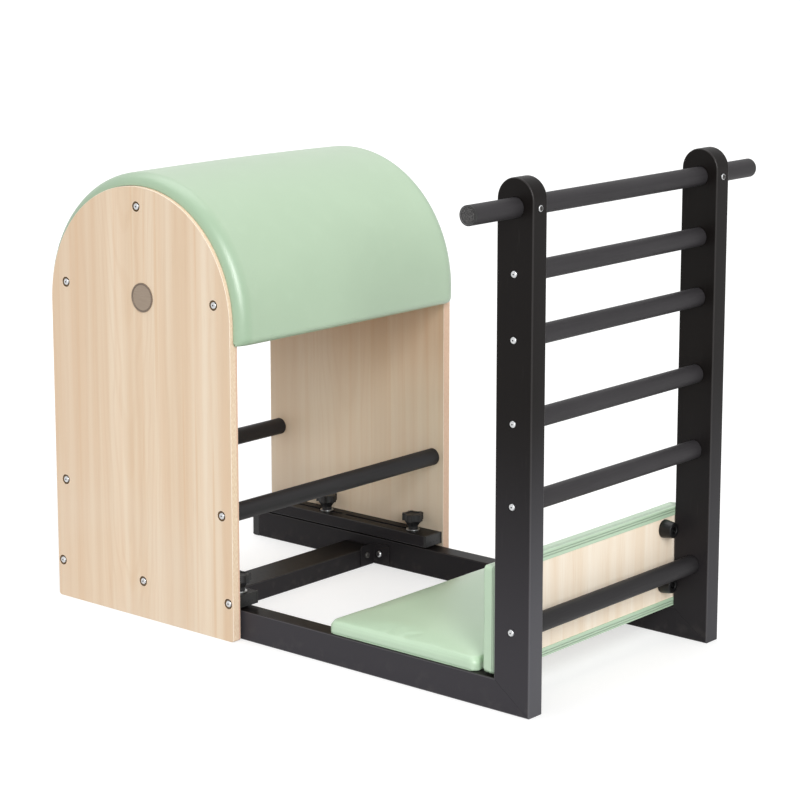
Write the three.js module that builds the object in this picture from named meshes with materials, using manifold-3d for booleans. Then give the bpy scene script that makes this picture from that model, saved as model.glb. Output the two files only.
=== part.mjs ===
// Pilates ladder barrel: a padded barrel that slides on a steel ladder frame,
// with a floor pad and a back pad. Lengths are millimetres.
// X runs from the barrel to the ladder, Y from the near side to the far side, Z is up.

import * as THREE from 'three';
import * as BufferGeometryUtils from 'three/addons/utils/BufferGeometryUtils.js';
import Module from 'manifold-3d';

const wasm = await Module();
wasm.setup();

// Driving dimensions of the whole
const overall_length = 1249;
const frame_width = 614;
const ladder_height = 977;
const base_setback = 14;

// Ladder frame of rectangular steel tube
const upright_depth = 80;
const upright_thickness = 40;
const rail_height = 60;
const tube_wall = 2;
const cross_member_depth = 80;
const cross_member_height = 40;
const cross_member_offset = 58;
const rail_plug_head = 18;
const rail_plug_bevel = 5;
const rail_plug_spigot = 18;

// Rungs
const rung_diameter = 36.5;
const top_rung_wall = 2.5;
const top_rung_drop = 53;
const close_rung_pitch = 117.5;
const wide_rung_pitch = 151;
const bottom_rung_height = 154;
const handle_reach = 126.5;
const handle_plug_head = 5;
const handle_plug_chamfer = 1;
const handle_plug_rim = 2.5;
const handle_plug_dish = 1.2;

// Barrel
const panel_width = 510;
const panel_springline = 630;
const panel_thickness = 20;
const panel_corner_radius = 6;
const panel_clearance = 7.5;
const padding_stand_out = 28;
const padding_thickness = 40;
const padding_drop = 36;
const padding_edge_radius = 24;
const padding_foot_radius = 17;
const padding_crown = 3;
const shell_thickness = 8;
const shell_lift = 6;
const batten_width = 40;
const batten_bolt_inset = 40;
const shoulder_bolt_angle = THREE.MathUtils.degToRad(11);
const crossbar_diameter = 36.5;
const crossbar_height = 253;
const crossbar_inset = 29;

// Slide bars under the barrel, and the knobs that clamp them
const slide_bar_inset = 3.5;
const slide_bar_height = 25;
const slide_bar_bolt_inset = 13.5;
const slide_plug_head = 4;
const slide_plug_spigot = 6;
const glide_thickness = 4;
const glide_width = 30;
const glide_inset = 12;
const barrel_travel = 150;
const near_front_knob_offset = 227.5;
const far_front_knob_offset = 193;
const rear_knob_offset = 59;
const front_slot_lead = 4.5;
const rear_slot_lead = 46;
const slot_play = 0.5;
const knob_diameter = 50;
const knob_lobes = 5;
const knob_lobe_depth = 5;
const knob_head_height = 15;
const knob_height = 36;
const knob_hub_diameter = 21;
const stud_diameter = 8;
const stud_grip = 14;
const washer_diameter = 30;
const washer_thickness = 2;

// Floor pad, back pad and the back pad's feet
const floor_pad_length = 366;
const floor_pad_inset = 1;
const floor_pad_side_height = 24;
const floor_pad_corner_radius = 16;
const pad_play = 8;
const back_pad_height = 207;
const back_pad_inset = 4.5;
const back_pad_side_height = 22;
const back_pad_corner_radius = 6;
const pad_board_thickness = 12;
const least_board_corner = 1;
const pad_edge_rise = 9;
const pad_edge_width = 18;
const pad_crown = 5;
const pad_draw_in = 2.5;
const cover_thickness = 1.5;
const hem_width = 19;
const foot_base_diameter = 37;
const foot_tip_diameter = 26;
const foot_height = 25;
const foot_recess_diameter = 10;
const foot_recess_depth = 12;
const foot_end_inset = 70;
const foot_top_inset = 40;
const foot_bottom_inset = 55;

// Brackets, screws and bolts
const bracket_leg = 45;
const bracket_thickness = 3;
const bracket_lift = 3;
const bracket_bolt_inset = 18;
const bracket_screw_inset = 27;
const screw_head_diameter = 13;
const screw_head_height = 4;
const screw_diameter = 6;
const screw_grip = 18;
const set_screw_diameter = 10;
const foot_screw_diameter = 4;
const foot_screw_grip = 8;
const bolt_diameter = 8;
const bolt_grip = 18;

// Clearances, and the overrun of every cut
const seat_gap = 0.3;
const hole_clearance = 0.3;
const mitre_gap = 0.5;
const overrun = 5;

// Facets over an arch, round a bar, and round a screw
const arch_segments = 32;
const round_segments = 16;
const small_segments = 8;

// Sizes that follow from the ones above
const base_length = overall_length - base_setback;
const top_rung_height = ladder_height - top_rung_drop;
const upright_radius = upright_depth / 2;
const rung_radius = rung_diameter / 2;
const side_centre = (frame_width - upright_thickness) / 2;
const frame_inner_width = frame_width - 2 * upright_thickness;
const panel_inner_face = frame_width / 2 + panel_clearance;
const barrel_inner_width = 2 * (panel_inner_face - seat_gap);
const panel_radius = panel_width / 2;
const padding_radius = panel_radius + padding_stand_out;
const padding_inner_radius = padding_radius - padding_thickness;
const shell_outer_radius = padding_inner_radius - seat_gap;
const shell_inner_radius = shell_outer_radius - shell_thickness;
const batten_circle = panel_radius - batten_bolt_inset;
const barrel_x = padding_radius - overall_length / 2;
const ladder_x = overall_length / 2;
const cross_member_x = barrel_x + cross_member_offset - ladder_x;
const stud_radius = stud_diameter / 2;
const glide_bottom = rail_height + seat_gap;
const slide_bar_bottom = glide_bottom + glide_thickness + seat_gap;
const slide_bar_top = slide_bar_bottom + slide_bar_height;
const slide_bar_width = 2 * (panel_inner_face - seat_gap - side_centre);
const slide_bar_length = panel_width - 2 * (slide_bar_inset + slide_plug_head);
const slot_width = stud_diameter + 2 * slot_play;
const slot_length = rear_slot_lead + barrel_travel + stud_radius + slot_play;
const sides = [
  { name: 'near', sign: -1, front_knob_offset: near_front_knob_offset },
  { name: 'far', sign: 1, front_knob_offset: far_front_knob_offset },
];

const colours = {
  frame: 0x2a2a2c,
  plastic: 0x161616,
  rubber: 0x0f0f10,
  birch: 0xead4b6,
  pale_ply: 0xd9bf98,
  vinyl: 0xb4cfb0,
  steel: 0xc9cacb,
};

function finish(colour, roughness, metalness) {
  return new THREE.MeshStandardMaterial({ color: colour, roughness, metalness });
}

const painted = () => finish(colours.frame, 0.5, 0.3);
const plastic = () => finish(colours.plastic, 0.45, 0);
const rubber = () => finish(colours.rubber, 0.35, 0);
const birch = () => finish(colours.birch, 0.45, 0);
const bare_ply = () => finish(colours.pale_ply, 0.6, 0);
const vinyl = () => finish(colours.vinyl, 0.4, 0);
const zinc = () => finish(colours.steel, 0.3, 0.9);

function piece(name, geometry, material, parent) {
  const mesh = new THREE.Mesh(geometry, material);
  mesh.name = name;
  parent.add(mesh);
  return mesh;
}

// Solid geometry with cuts and joins

function toSolid(geometry) {
  const bare = geometry.clone();
  bare.deleteAttribute('normal');
  bare.deleteAttribute('uv');
  const merged = BufferGeometryUtils.mergeVertices(bare);
  return new wasm.Manifold(new wasm.Mesh({
    numProp: 3,
    vertProperties: new Float32Array(merged.attributes.position.array),
    triVerts: new Uint32Array(merged.index.array),
  }));
}

function toGeometry(solid) {
  const mesh = solid.getMesh();
  const geometry = new THREE.BufferGeometry();
  geometry.setAttribute('position', new THREE.BufferAttribute(mesh.vertProperties, 3));
  geometry.setIndex(new THREE.BufferAttribute(mesh.triVerts, 1));
  return geometry;
}

function cut(geometry, tools) {
  let solid = toSolid(geometry);
  for (const tool of tools) solid = solid.subtract(toSolid(tool));
  return toGeometry(solid);
}

function join(geometries) {
  let solid = toSolid(geometries[0]);
  for (const other of geometries.slice(1)) solid = solid.add(toSolid(other));
  return toGeometry(solid);
}

function block(x, y, z) {
  const geometry = new THREE.BoxGeometry(x[1] - x[0], y[1] - y[0], z[1] - z[0]);
  return geometry.translate((x[0] + x[1]) / 2, (y[0] + y[1]) / 2, (z[0] + z[1]) / 2);
}

// Radius of a bore whose flats, not its corners, clear a shaft
function boreFor(radius, segments = small_segments) {
  return (radius + hole_clearance) / Math.cos(Math.PI / segments);
}

function roundAlongY(radius, y0, y1, x, z, segments = small_segments) {
  const geometry = new THREE.CylinderGeometry(radius, radius, y1 - y0, segments);
  return geometry.translate(x, (y0 + y1) / 2, z);
}

function roundAlongX(radius, x0, x1, y, z, segments = small_segments) {
  const geometry = new THREE.CylinderGeometry(radius, radius, x1 - x0, segments);
  return geometry.rotateZ(Math.PI / 2).translate((x0 + x1) / 2, y, z);
}

function roundAlongZ(radius, z0, z1, x, y, segments = small_segments) {
  const geometry = new THREE.CylinderGeometry(radius, radius, z1 - z0, segments);
  return geometry.rotateX(Math.PI / 2).translate(x, y, (z0 + z1) / 2);
}

// An outline drawn in X and Z, made as thick as asked along Y. An arc has two facets for each curve segment
function plate(shape, y0, y1, segments = arch_segments) {
  const geometry = new THREE.ExtrudeGeometry(shape, {
    depth: y1 - y0, bevelEnabled: false, steps: 1, curveSegments: segments / 2,
  });
  return geometry.rotateX(Math.PI / 2).translate(0, y1, 0);
}

// An outline drawn in X and Y, made as tall as asked along Z
function slab(shape, z0, z1) {
  const geometry = new THREE.ExtrudeGeometry(shape, {
    depth: z1 - z0, bevelEnabled: false, steps: 1, curveSegments: small_segments / 2,
  });
  return geometry.translate(0, 0, z0);
}

function polygon(points) {
  return new THREE.Shape(points.map(([u, v]) => new THREE.Vector2(u, v)));
}

// A profile of radius and height turned about the Y axis
function turned(profile, segments) {
  return new THREE.LatheGeometry(profile.map(([r, h]) => new THREE.Vector2(r, h)), segments);
}

const bolt_hole_radius = boreFor(bolt_diameter / 2);
const screw_hole_radius = boreFor(screw_diameter / 2);
const set_screw_hole_radius = boreFor(set_screw_diameter / 2);

const model = new THREE.Group();

// Ladder frame: the group stands at the ladder's front face

const frame = new THREE.Group();
frame.position.x = ladder_x;
model.add(frame);

const rungs = [
  { name: 'top_rung', z: top_rung_height },
  { name: 'second_rung', z: top_rung_height - close_rung_pitch },
  { name: 'third_rung', z: top_rung_height - 2 * close_rung_pitch },
  { name: 'fourth_rung', z: top_rung_height - 2 * close_rung_pitch - wide_rung_pitch },
  { name: 'fifth_rung', z: top_rung_height - 2 * close_rung_pitch - 2 * wide_rung_pitch },
  { name: 'bottom_rung', z: bottom_rung_height },
];
const fixed_rungs = rungs.slice(1);

function uprightOutline(inset, foot) {
  const radius = upright_radius - inset;
  const shape = new THREE.Shape();
  shape.moveTo(-inset, foot);
  shape.lineTo(-inset, ladder_height - upright_radius);
  shape.absarc(-upright_radius, ladder_height - upright_radius, radius, 0, Math.PI, false);
  shape.lineTo(inset - upright_depth, foot);
  return shape;
}

// The foot is cut on a mitre from the rail's inner corner to the outer corner on the floor
function upright() {
  const outer = [side_centre - upright_thickness / 2, side_centre + upright_thickness / 2];
  const body = plate(uprightOutline(0, 0), outer[0], outer[1], round_segments);
  const walls = [outer[0] + tube_wall, outer[1] - tube_wall];
  const hollow = plate(uprightOutline(tube_wall, -overrun), walls[0], walls[1], round_segments);
  const mitre = plate(polygon([
    [0, 0], [-upright_depth, rail_height], [-upright_depth - overrun, rail_height],
    [-upright_depth - overrun, -overrun], [0, -overrun],
  ]), outer[0] - overrun, outer[1] + overrun);
  const bore = boreFor(rung_radius, round_segments);
  const ends = [outer[0] - overrun, outer[1] + overrun];
  const tools = [
    hollow, mitre,
    roundAlongY(bore, ends[0], ends[1], -upright_radius, top_rung_height, round_segments),
    roundAlongX(set_screw_hole_radius, -tube_wall - overrun, overrun, side_centre, top_rung_height),
  ];
  for (const rung of fixed_rungs) {
    tools.push(roundAlongY(bore, ends[0], side_centre, -upright_radius, rung.z, round_segments));
    tools.push(roundAlongY(screw_hole_radius, side_centre, ends[1], -upright_radius, rung.z));
  }
  return cut(body, tools);
}

// The near side's frame pieces mirror the far side's
function mirroredAcross(geometry) {
  const mirrored = geometry.clone().scale(1, -1, 1);
  const index = mirrored.index.array;
  for (let i = 0; i < index.length; i += 3) {
    const first = index[i];
    index[i] = index[i + 1];
    index[i + 1] = first;
  }
  return mirrored;
}

const far_upright = upright();
piece('far_upright', far_upright, painted(), frame);
piece('near_upright', mirroredAcross(far_upright), painted(), frame);

const rail_rear = rail_plug_head - base_length;
const cross_member_front = cross_member_x + cross_member_depth / 2;
const bracket_corner = cross_member_front + seat_gap;
const bracket_bolt_x = bracket_corner + bracket_bolt_inset;
const bracket_centre = bracket_lift + bracket_leg / 2;
const knobPlaces = (side) => [
  { name: 'front', x: barrel_x - ladder_x + side.front_knob_offset },
  { name: 'rear', x: barrel_x - ladder_x - rear_knob_offset },
];

function rail(side) {
  const outer = [side_centre - upright_thickness / 2, side_centre + upright_thickness / 2];
  const body = plate(polygon([
    [rail_rear + seat_gap, 0], [-mitre_gap, 0],
    [-upright_depth - mitre_gap, rail_height], [rail_rear + seat_gap, rail_height],
  ]), outer[0], outer[1]);
  const tools = [block(
    [rail_rear - overrun, overrun],
    [outer[0] + tube_wall, outer[1] - tube_wall],
    [tube_wall, rail_height - tube_wall],
  )];
  for (const place of knobPlaces(side)) {
    const heights = [rail_height / 2, rail_height + overrun];
    tools.push(roundAlongZ(boreFor(stud_radius), heights[0], heights[1], place.x, side_centre));
  }
  tools.push(roundAlongY(bolt_hole_radius, outer[0] - overrun, side_centre, bracket_bolt_x, bracket_centre));
  return cut(body, tools);
}

function railPlug() {
  const outer = [side_centre - upright_thickness / 2, side_centre + upright_thickness / 2];
  const head = plate(polygon([
    [-base_length, rail_plug_bevel], [rail_rear, 0], [rail_rear, rail_height], [-base_length, rail_height],
  ]), outer[0], outer[1]);
  const spigot_gap = tube_wall + hole_clearance;
  const spigot = block(
    [rail_rear - overrun, rail_rear + rail_plug_spigot],
    [outer[0] + spigot_gap, outer[1] - spigot_gap],
    [spigot_gap, rail_height - spigot_gap],
  );
  return join([head, spigot]);
}

const [near, far] = sides;
const far_rail_plug = railPlug();
piece('far_base_rail', rail(far), painted(), frame);
piece('near_base_rail', mirroredAcross(rail(near)), painted(), frame);
piece('far_rail_plug', far_rail_plug, plastic(), frame);
piece('near_rail_plug', mirroredAcross(far_rail_plug), plastic(), frame);

// Cross member: a flat tube between the rails, held by an angle bracket at each end

function rectangularTube(width, height, wall) {
  const shape = polygon([
    [-width / 2, -height / 2], [width / 2, -height / 2], [width / 2, height / 2], [-width / 2, height / 2],
  ]);
  const inner = [width / 2 - wall, height / 2 - wall];
  shape.holes.push(new THREE.Path([
    new THREE.Vector2(-inner[0], -inner[1]), new THREE.Vector2(-inner[0], inner[1]),
    new THREE.Vector2(inner[0], inner[1]), new THREE.Vector2(inner[0], -inner[1]),
  ]));
  return shape;
}

const bracket_face = frame_inner_width / 2 - seat_gap;
const bracket_screw_y = bracket_face - bracket_screw_inset;

function crossMember() {
  const section = rectangularTube(cross_member_depth, cross_member_height, tube_wall);
  const tube = plate(section, -bracket_face, bracket_face);
  tube.translate(cross_member_x, 0, cross_member_height / 2);
  return cut(tube, sides.map((side) => roundAlongX(
    screw_hole_radius, cross_member_x, cross_member_front + overrun,
    side.sign * bracket_screw_y, bracket_centre,
  )));
}

piece('cross_member', crossMember(), painted(), frame);

function bracket(sign) {
  const rail_face = sign * bracket_face;
  const inner_face = rail_face - sign * bracket_thickness;
  const tip = rail_face - sign * bracket_leg;
  const corner = bracket_corner;
  const angle = slab(polygon([
    [corner, rail_face], [corner + bracket_leg, rail_face], [corner + bracket_leg, inner_face],
    [corner + bracket_thickness, inner_face], [corner + bracket_thickness, tip], [corner, tip],
  ]), bracket_lift, bracket_lift + bracket_leg);
  const half = bracket_thickness + overrun;
  return cut(angle, [
    roundAlongY(bolt_hole_radius, rail_face - half, rail_face + half, bracket_bolt_x, bracket_centre),
    roundAlongX(screw_hole_radius, corner - half, corner + half, sign * bracket_screw_y, bracket_centre),
  ]);
}

for (const side of sides) piece(`${side.name}_bracket`, bracket(side.sign), painted(), frame);

// Rungs: the top one is a tube that passes through both uprights and ends in two handles

const top_rung_half = frame_width / 2 + handle_reach;
const top_rung_bore = rung_radius - top_rung_wall;
const top_rung = piece('top_rung', turned([
  [top_rung_bore, -top_rung_half], [rung_radius, -top_rung_half],
  [rung_radius, top_rung_half], [top_rung_bore, top_rung_half], [top_rung_bore, -top_rung_half],
], round_segments), painted(), frame);
top_rung.position.set(-upright_radius, 0, top_rung_height);

// Handle plug: a chamfered head with a shallow dish, and a spigot inside the tube
function handlePlug() {
  const spigot_radius = top_rung_bore - hole_clearance;
  const head = handle_plug_head;
  const dish_radius = rung_radius - handle_plug_rim;
  const dish_floor = head - handle_plug_dish;
  return turned([
    [0, -rung_radius], [spigot_radius, -rung_radius], [spigot_radius, seat_gap], [rung_radius, seat_gap],
    [rung_radius, head - handle_plug_chamfer], [rung_radius - handle_plug_chamfer, head],
    [dish_radius, head], [dish_radius - handle_plug_dish, dish_floor], [0, dish_floor],
  ], round_segments);
}

for (const side of sides) {
  const plug = piece(`${side.name}_handle_plug`, handlePlug(), plastic(), frame);
  plug.position.set(-upright_radius, side.sign * top_rung_half, top_rung_height);
  plug.rotation.x = side.sign > 0 ? 0 : Math.PI;
}

const rung_half = frame_width / 2 - tube_wall - seat_gap;
const pilot_depth = screw_grip + 2 * seat_gap;

function fixedRung() {
  const pilot_floor = rung_half - pilot_depth;
  return turned([
    [0, -pilot_floor], [screw_hole_radius, -pilot_floor], [screw_hole_radius, -rung_half],
    [rung_radius, -rung_half], [rung_radius, rung_half],
    [screw_hole_radius, rung_half], [screw_hole_radius, pilot_floor], [0, pilot_floor],
  ], round_segments);
}

const driver_share = 0.5;
const rim_share = 0.4;

// Button-head screw along Y. Its head stands out from the upright at Y = 0, and its shank goes into the rung
function rungScrew() {
  const shank = tube_wall + seat_gap + screw_grip;
  const head_radius = screw_head_diameter / 2;
  const recess = head_radius * driver_share;
  const recess_floor = screw_head_height / 2;
  return turned([
    [0, -shank], [screw_diameter / 2, -shank], [screw_diameter / 2, seat_gap], [head_radius, seat_gap],
    [head_radius, screw_head_height * rim_share], [recess, screw_head_height],
    [recess, recess_floor], [0, recess_floor],
  ], small_segments);
}

for (const rung of fixed_rungs) {
  const bar = piece(rung.name, fixedRung(), painted(), frame);
  bar.position.set(-upright_radius, 0, rung.z);
  for (const side of sides) {
    const screw = piece(`${side.name}_${rung.name}_screw`, rungScrew(), zinc(), frame);
    screw.position.set(-upright_radius, side.sign * frame_width / 2, rung.z);
    screw.rotation.x = side.sign > 0 ? 0 : Math.PI;
  }
}

// Barrel: the group stands at the barrel's centre

const barrel = new THREE.Group();
barrel.position.x = barrel_x;
model.add(barrel);

const batten_places = [
  { name: 'front', angle: shoulder_bolt_angle },
  { name: 'top', angle: Math.PI / 2 },
  { name: 'rear', angle: Math.PI - shoulder_bolt_angle },
].map((place) => ({
  ...place,
  x: batten_circle * Math.cos(place.angle),
  z: panel_springline + batten_circle * Math.sin(place.angle),
}));
const crossbar_reach = panel_radius - crossbar_inset;
const crossbar_places = [{ name: 'front', x: crossbar_reach }, { name: 'rear', x: -crossbar_reach }];
const slide_bar_bolt_reach = panel_radius - slide_bar_bolt_inset;
const slide_bar_centre = (slide_bar_bottom + slide_bar_top) / 2;
const panel_bolts = [
  ...batten_places.map(({ x, z }) => [x, z]),
  ...crossbar_places.map(({ x }) => [x, crossbar_height]),
  ...[-slide_bar_bolt_reach, 0, slide_bar_bolt_reach].map((x) => [x, slide_bar_centre]),
];

function panelOutline() {
  const shape = new THREE.Shape();
  shape.moveTo(-panel_radius, panel_corner_radius);
  shape.quadraticCurveTo(-panel_radius, 0, panel_corner_radius - panel_radius, 0);
  shape.lineTo(panel_radius - panel_corner_radius, 0);
  shape.quadraticCurveTo(panel_radius, 0, panel_radius, panel_corner_radius);
  shape.lineTo(panel_radius, panel_springline);
  shape.absarc(0, panel_springline, panel_radius, 0, Math.PI, false);
  return shape;
}

for (const side of sides) {
  const y = side.sign > 0
    ? [panel_inner_face, panel_inner_face + panel_thickness]
    : [-panel_inner_face - panel_thickness, -panel_inner_face];
  const ends = [y[0] - overrun, y[1] + overrun];
  const holes = panel_bolts.map(([x, z]) => roundAlongY(bolt_hole_radius, ends[0], ends[1], x, z));
  piece(`${side.name}_side_panel`, cut(plate(panelOutline(), y[0], y[1]), holes), birch(), barrel);
}

// Bent plywood shell that carries the padding
function shellOutline() {
  const foot = panel_springline - padding_drop + shell_lift;
  const shape = new THREE.Shape();
  shape.moveTo(shell_outer_radius, foot);
  shape.lineTo(shell_outer_radius, panel_springline);
  shape.absarc(0, panel_springline, shell_outer_radius, 0, Math.PI, false);
  shape.lineTo(-shell_outer_radius, foot);
  shape.lineTo(-shell_inner_radius, foot);
  shape.lineTo(-shell_inner_radius, panel_springline);
  shape.absarc(0, panel_springline, shell_inner_radius, Math.PI, 0, true);
  shape.lineTo(shell_inner_radius, foot);
  return shape;
}

const shell = plate(shellOutline(), -barrel_inner_width / 2, barrel_inner_width / 2);
piece('barrel_shell', shell, bare_ply(), barrel);

const edge_share = 0.6;

// Padding section: how far out from the shell, against the place across the barrel
function paddingSection(thickness) {
  const half = barrel_inner_width / 2;
  const edge = Math.min(padding_edge_radius, thickness * edge_share);
  const crown = (y) => padding_crown * (y / half) ** 2;
  const points = [[0, -half]];
  const turn_steps = 4;
  for (let i = 0; i <= turn_steps; i += 1) {
    const turn = (i / turn_steps) * Math.PI / 2;
    const out = thickness - padding_crown - edge * (1 - Math.sin(turn));
    points.push([out, edge * (1 - Math.cos(turn)) - half]);
  }
  points.push([thickness - crown(half / 2), -half / 2]);
  points.push([thickness, 0]);
  const mirrored = points.slice(0, -1).reverse().map(([out, y]) => [out, -y]);
  return [...points, ...mirrored];
}

// Stations up one side, over the arch and down the other, with rounded lower edges
function paddingStations() {
  const foot = panel_springline - padding_drop;
  const edge = padding_foot_radius;
  const rounding = [];
  const turn_steps = 4;
  for (let i = 0; i <= turn_steps; i += 1) {
    const turn = (i / turn_steps) * Math.PI / 2;
    rounding.push({
      z: foot + edge - edge * Math.cos(turn),
      thickness: padding_thickness - edge + edge * Math.sin(turn),
    });
  }
  const stations = rounding.map(({ z, thickness }) => ({ turn: 0, z, thickness }));
  for (let i = 0; i <= arch_segments; i += 1) {
    stations.push({ turn: (i / arch_segments) * Math.PI, z: panel_springline, thickness: padding_thickness });
  }
  for (const { z, thickness } of rounding.slice().reverse()) stations.push({ turn: Math.PI, z, thickness });
  return stations;
}

// Rings of equal length joined into one closed skin, with a fan over each end
function loft(rings) {
  const count = rings[0].length;
  const positions = rings.flat(2);
  const index = [];
  for (let i = 0; i + 1 < rings.length; i += 1) {
    for (let j = 0; j < count; j += 1) {
      const a = i * count + j;
      const b = i * count + (j + 1) % count;
      index.push(a, b, b + count, a, b + count, a + count);
    }
  }
  const addFan = (start, flip) => {
    const centre = positions.length / 3;
    const ring = rings[start];
    for (let axis = 0; axis < 3; axis += 1) positions.push(ring.reduce((sum, p) => sum + p[axis], 0) / count);
    for (let j = 0; j < count; j += 1) {
      const a = start * count + j;
      const b = start * count + (j + 1) % count;
      index.push(centre, flip ? a : b, flip ? b : a);
    }
  };
  addFan(0, false);
  addFan(rings.length - 1, true);
  const geometry = new THREE.BufferGeometry();
  geometry.setAttribute('position', new THREE.BufferAttribute(new Float32Array(positions), 3));
  geometry.setIndex(index);
  return geometry;
}

function padding() {
  return loft(paddingStations().map(({ turn, z, thickness }) => paddingSection(thickness).map(([out, y]) => [
    (padding_inner_radius + out) * Math.cos(turn),
    y,
    z + (padding_inner_radius + out) * Math.sin(turn),
  ])));
}

piece('barrel_padding', padding(), vinyl(), barrel);

// Battens: bars between the side panels that hold the shell up at its three bolts
const batten_crest = Math.sqrt((shell_inner_radius - seat_gap) ** 2 - (batten_width / 2) ** 2);
const batten_depth = 2 * (batten_crest - batten_circle);

for (const place of batten_places) {
  const half = barrel_inner_width / 2;
  const depth = [-batten_depth / 2, batten_depth / 2];
  const bar = block(depth, [-half, half], [-batten_width / 2, batten_width / 2]);
  const pilots = [
    roundAlongY(bolt_hole_radius, -half - overrun, bolt_grip - half, 0, 0),
    roundAlongY(bolt_hole_radius, half - bolt_grip, half + overrun, 0, 0),
  ];
  const batten = piece(`${place.name}_batten`, cut(bar, pilots), bare_ply(), barrel);
  batten.position.set(place.x, 0, place.z);
  batten.rotation.y = -place.angle;
}

for (const place of crossbar_places) {
  const radius = crossbar_diameter / 2;
  const half = barrel_inner_width / 2;
  const bar = piece(`${place.name}_crossbar`, turned([
    [0, bolt_grip - half], [bolt_hole_radius, bolt_grip - half], [bolt_hole_radius, -half],
    [radius, -half], [radius, half], [bolt_hole_radius, half],
    [bolt_hole_radius, half - bolt_grip], [0, half - bolt_grip],
  ], round_segments), painted(), barrel);
  bar.position.set(place.x, 0, crossbar_height);
}

// Slide bars: slotted tubes bolted inside the panels, with a glide strip below and a plug in each end

const slotEnds = (side) => [
  side.front_knob_offset + front_slot_lead,
  rear_slot_lead - rear_knob_offset,
];

function slotCutter(x1, y, z0, z1) {
  const radius = slot_width / 2;
  const x0 = x1 - slot_length;
  const shape = new THREE.Shape();
  shape.moveTo(x0 + radius, y - radius);
  shape.lineTo(x1 - radius, y - radius);
  shape.absarc(x1 - radius, y, radius, -Math.PI / 2, Math.PI / 2, false);
  shape.lineTo(x0 + radius, y + radius);
  shape.absarc(x0 + radius, y, radius, Math.PI / 2, 3 * Math.PI / 2, false);
  return slab(shape, z0, z1);
}

function slideBar(side) {
  const { sign } = side;
  const half = slide_bar_length / 2;
  const tube = new THREE.ExtrudeGeometry(rectangularTube(slide_bar_width, slide_bar_height, tube_wall), {
    depth: slide_bar_length, bevelEnabled: false, steps: 1,
  });
  tube.rotateX(Math.PI / 2).rotateZ(Math.PI / 2).translate(-half, sign * side_centre, slide_bar_centre);
  const tools = slotEnds(side).map((x) => slotCutter(
    x, sign * side_centre, slide_bar_bottom - overrun, slide_bar_top + overrun,
  ));
  for (const x of [-slide_bar_bolt_reach, 0, slide_bar_bolt_reach]) {
    const outer = sign * panel_inner_face;
    tools.push(roundAlongY(bolt_hole_radius, -bolt_grip, overrun, x, slide_bar_centre)
      .rotateX(sign > 0 ? 0 : Math.PI)
      .translate(0, outer, sign > 0 ? 0 : 2 * slide_bar_centre));
  }
  return cut(tube, tools);
}

function glideStrip(side) {
  const { sign } = side;
  const half = slide_bar_length / 2 - glide_inset;
  const y = [sign * side_centre - glide_width / 2, sign * side_centre + glide_width / 2];
  const strip = block([-half, half], y, [glide_bottom, glide_bottom + glide_thickness]);
  return cut(strip, slotEnds(side).map((x) => slotCutter(
    x, sign * side_centre, glide_bottom - overrun, glide_bottom + glide_thickness + overrun,
  )));
}

// The plug's spigot stays clear of the end bolts
function slideBarPlug() {
  const cap = block(
    [seat_gap, slide_plug_head],
    [-slide_bar_width / 2, slide_bar_width / 2],
    [-slide_bar_height / 2, slide_bar_height / 2],
  );
  const spigot_width = slide_bar_width - 2 * (bolt_grip + hole_clearance);
  const spigot_height = slide_bar_height - 2 * (tube_wall + hole_clearance);
  const spigot = block(
    [-slide_plug_spigot, slide_plug_head / 2],
    [-spigot_width / 2, spigot_width / 2],
    [-spigot_height / 2, spigot_height / 2],
  );
  return join([cap, spigot]);
}

for (const side of sides) {
  piece(`${side.name}_slide_bar`, slideBar(side), painted(), barrel);
  piece(`${side.name}_glide_strip`, glideStrip(side), plastic(), barrel);
  for (const end of [{ name: 'front', sign: 1 }, { name: 'rear', sign: -1 }]) {
    const plug = piece(`${side.name}_${end.name}_slide_plug`, slideBarPlug(), plastic(), barrel);
    plug.position.set(end.sign * slide_bar_length / 2, side.sign * side_centre, slide_bar_centre);
    plug.rotation.z = end.sign > 0 ? 0 : Math.PI;
  }
}

// Star knobs: each clamps a slide bar to the rail by a stud through the slot

function knobOutline() {
  const steps = small_segments * knob_lobes;
  const mean = (knob_diameter - knob_lobe_depth) / 2;
  const points = [];
  for (let i = 0; i < steps; i += 1) {
    const turn = (i / steps) * 2 * Math.PI;
    const radius = mean + (knob_lobe_depth / 2) * Math.cos(knob_lobes * turn);
    points.push([radius * Math.cos(turn), radius * Math.sin(turn)]);
  }
  return polygon(points);
}

const hub_share = 0.35;

// Heights are counted up from the washer's top face
function starKnob() {
  const head_bottom = knob_height - washer_thickness - knob_head_height;
  const hub = knob_hub_diameter / 2;
  const neck = knob_diameter / 2 - knob_lobe_depth;
  const stud_drop = washer_thickness + 3 * seat_gap + slide_bar_top - rail_height + stud_grip;
  const head = slab(knobOutline(), head_bottom, head_bottom + knob_head_height);
  const stem = turned([
    [0, -stud_drop], [stud_radius, -stud_drop], [stud_radius, 0], [hub, 0],
    [hub, head_bottom * hub_share], [neck, head_bottom], [neck, head_bottom + knob_head_height / 2],
    [0, head_bottom + knob_head_height / 2],
  ], round_segments).rotateX(Math.PI / 2);
  return join([head, stem]);
}

function washer() {
  const inner = boreFor(stud_radius, round_segments);
  const outer = washer_diameter / 2;
  return turned([
    [inner, -washer_thickness], [outer, -washer_thickness], [outer, 0], [inner, 0],
    [inner, -washer_thickness],
  ], round_segments).rotateX(Math.PI / 2);
}

for (const side of sides) {
  for (const place of knobPlaces(side)) {
    const station = new THREE.Group();
    station.position.set(
      ladder_x + place.x, side.sign * side_centre, slide_bar_top + washer_thickness + 2 * seat_gap,
    );
    model.add(station);
    piece(`${side.name}_${place.name}_knob`, starKnob(), plastic(), station);
    const ring = piece(`${side.name}_${place.name}_washer`, washer(), zinc(), station);
    ring.position.z = -seat_gap;
  }
}

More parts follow.
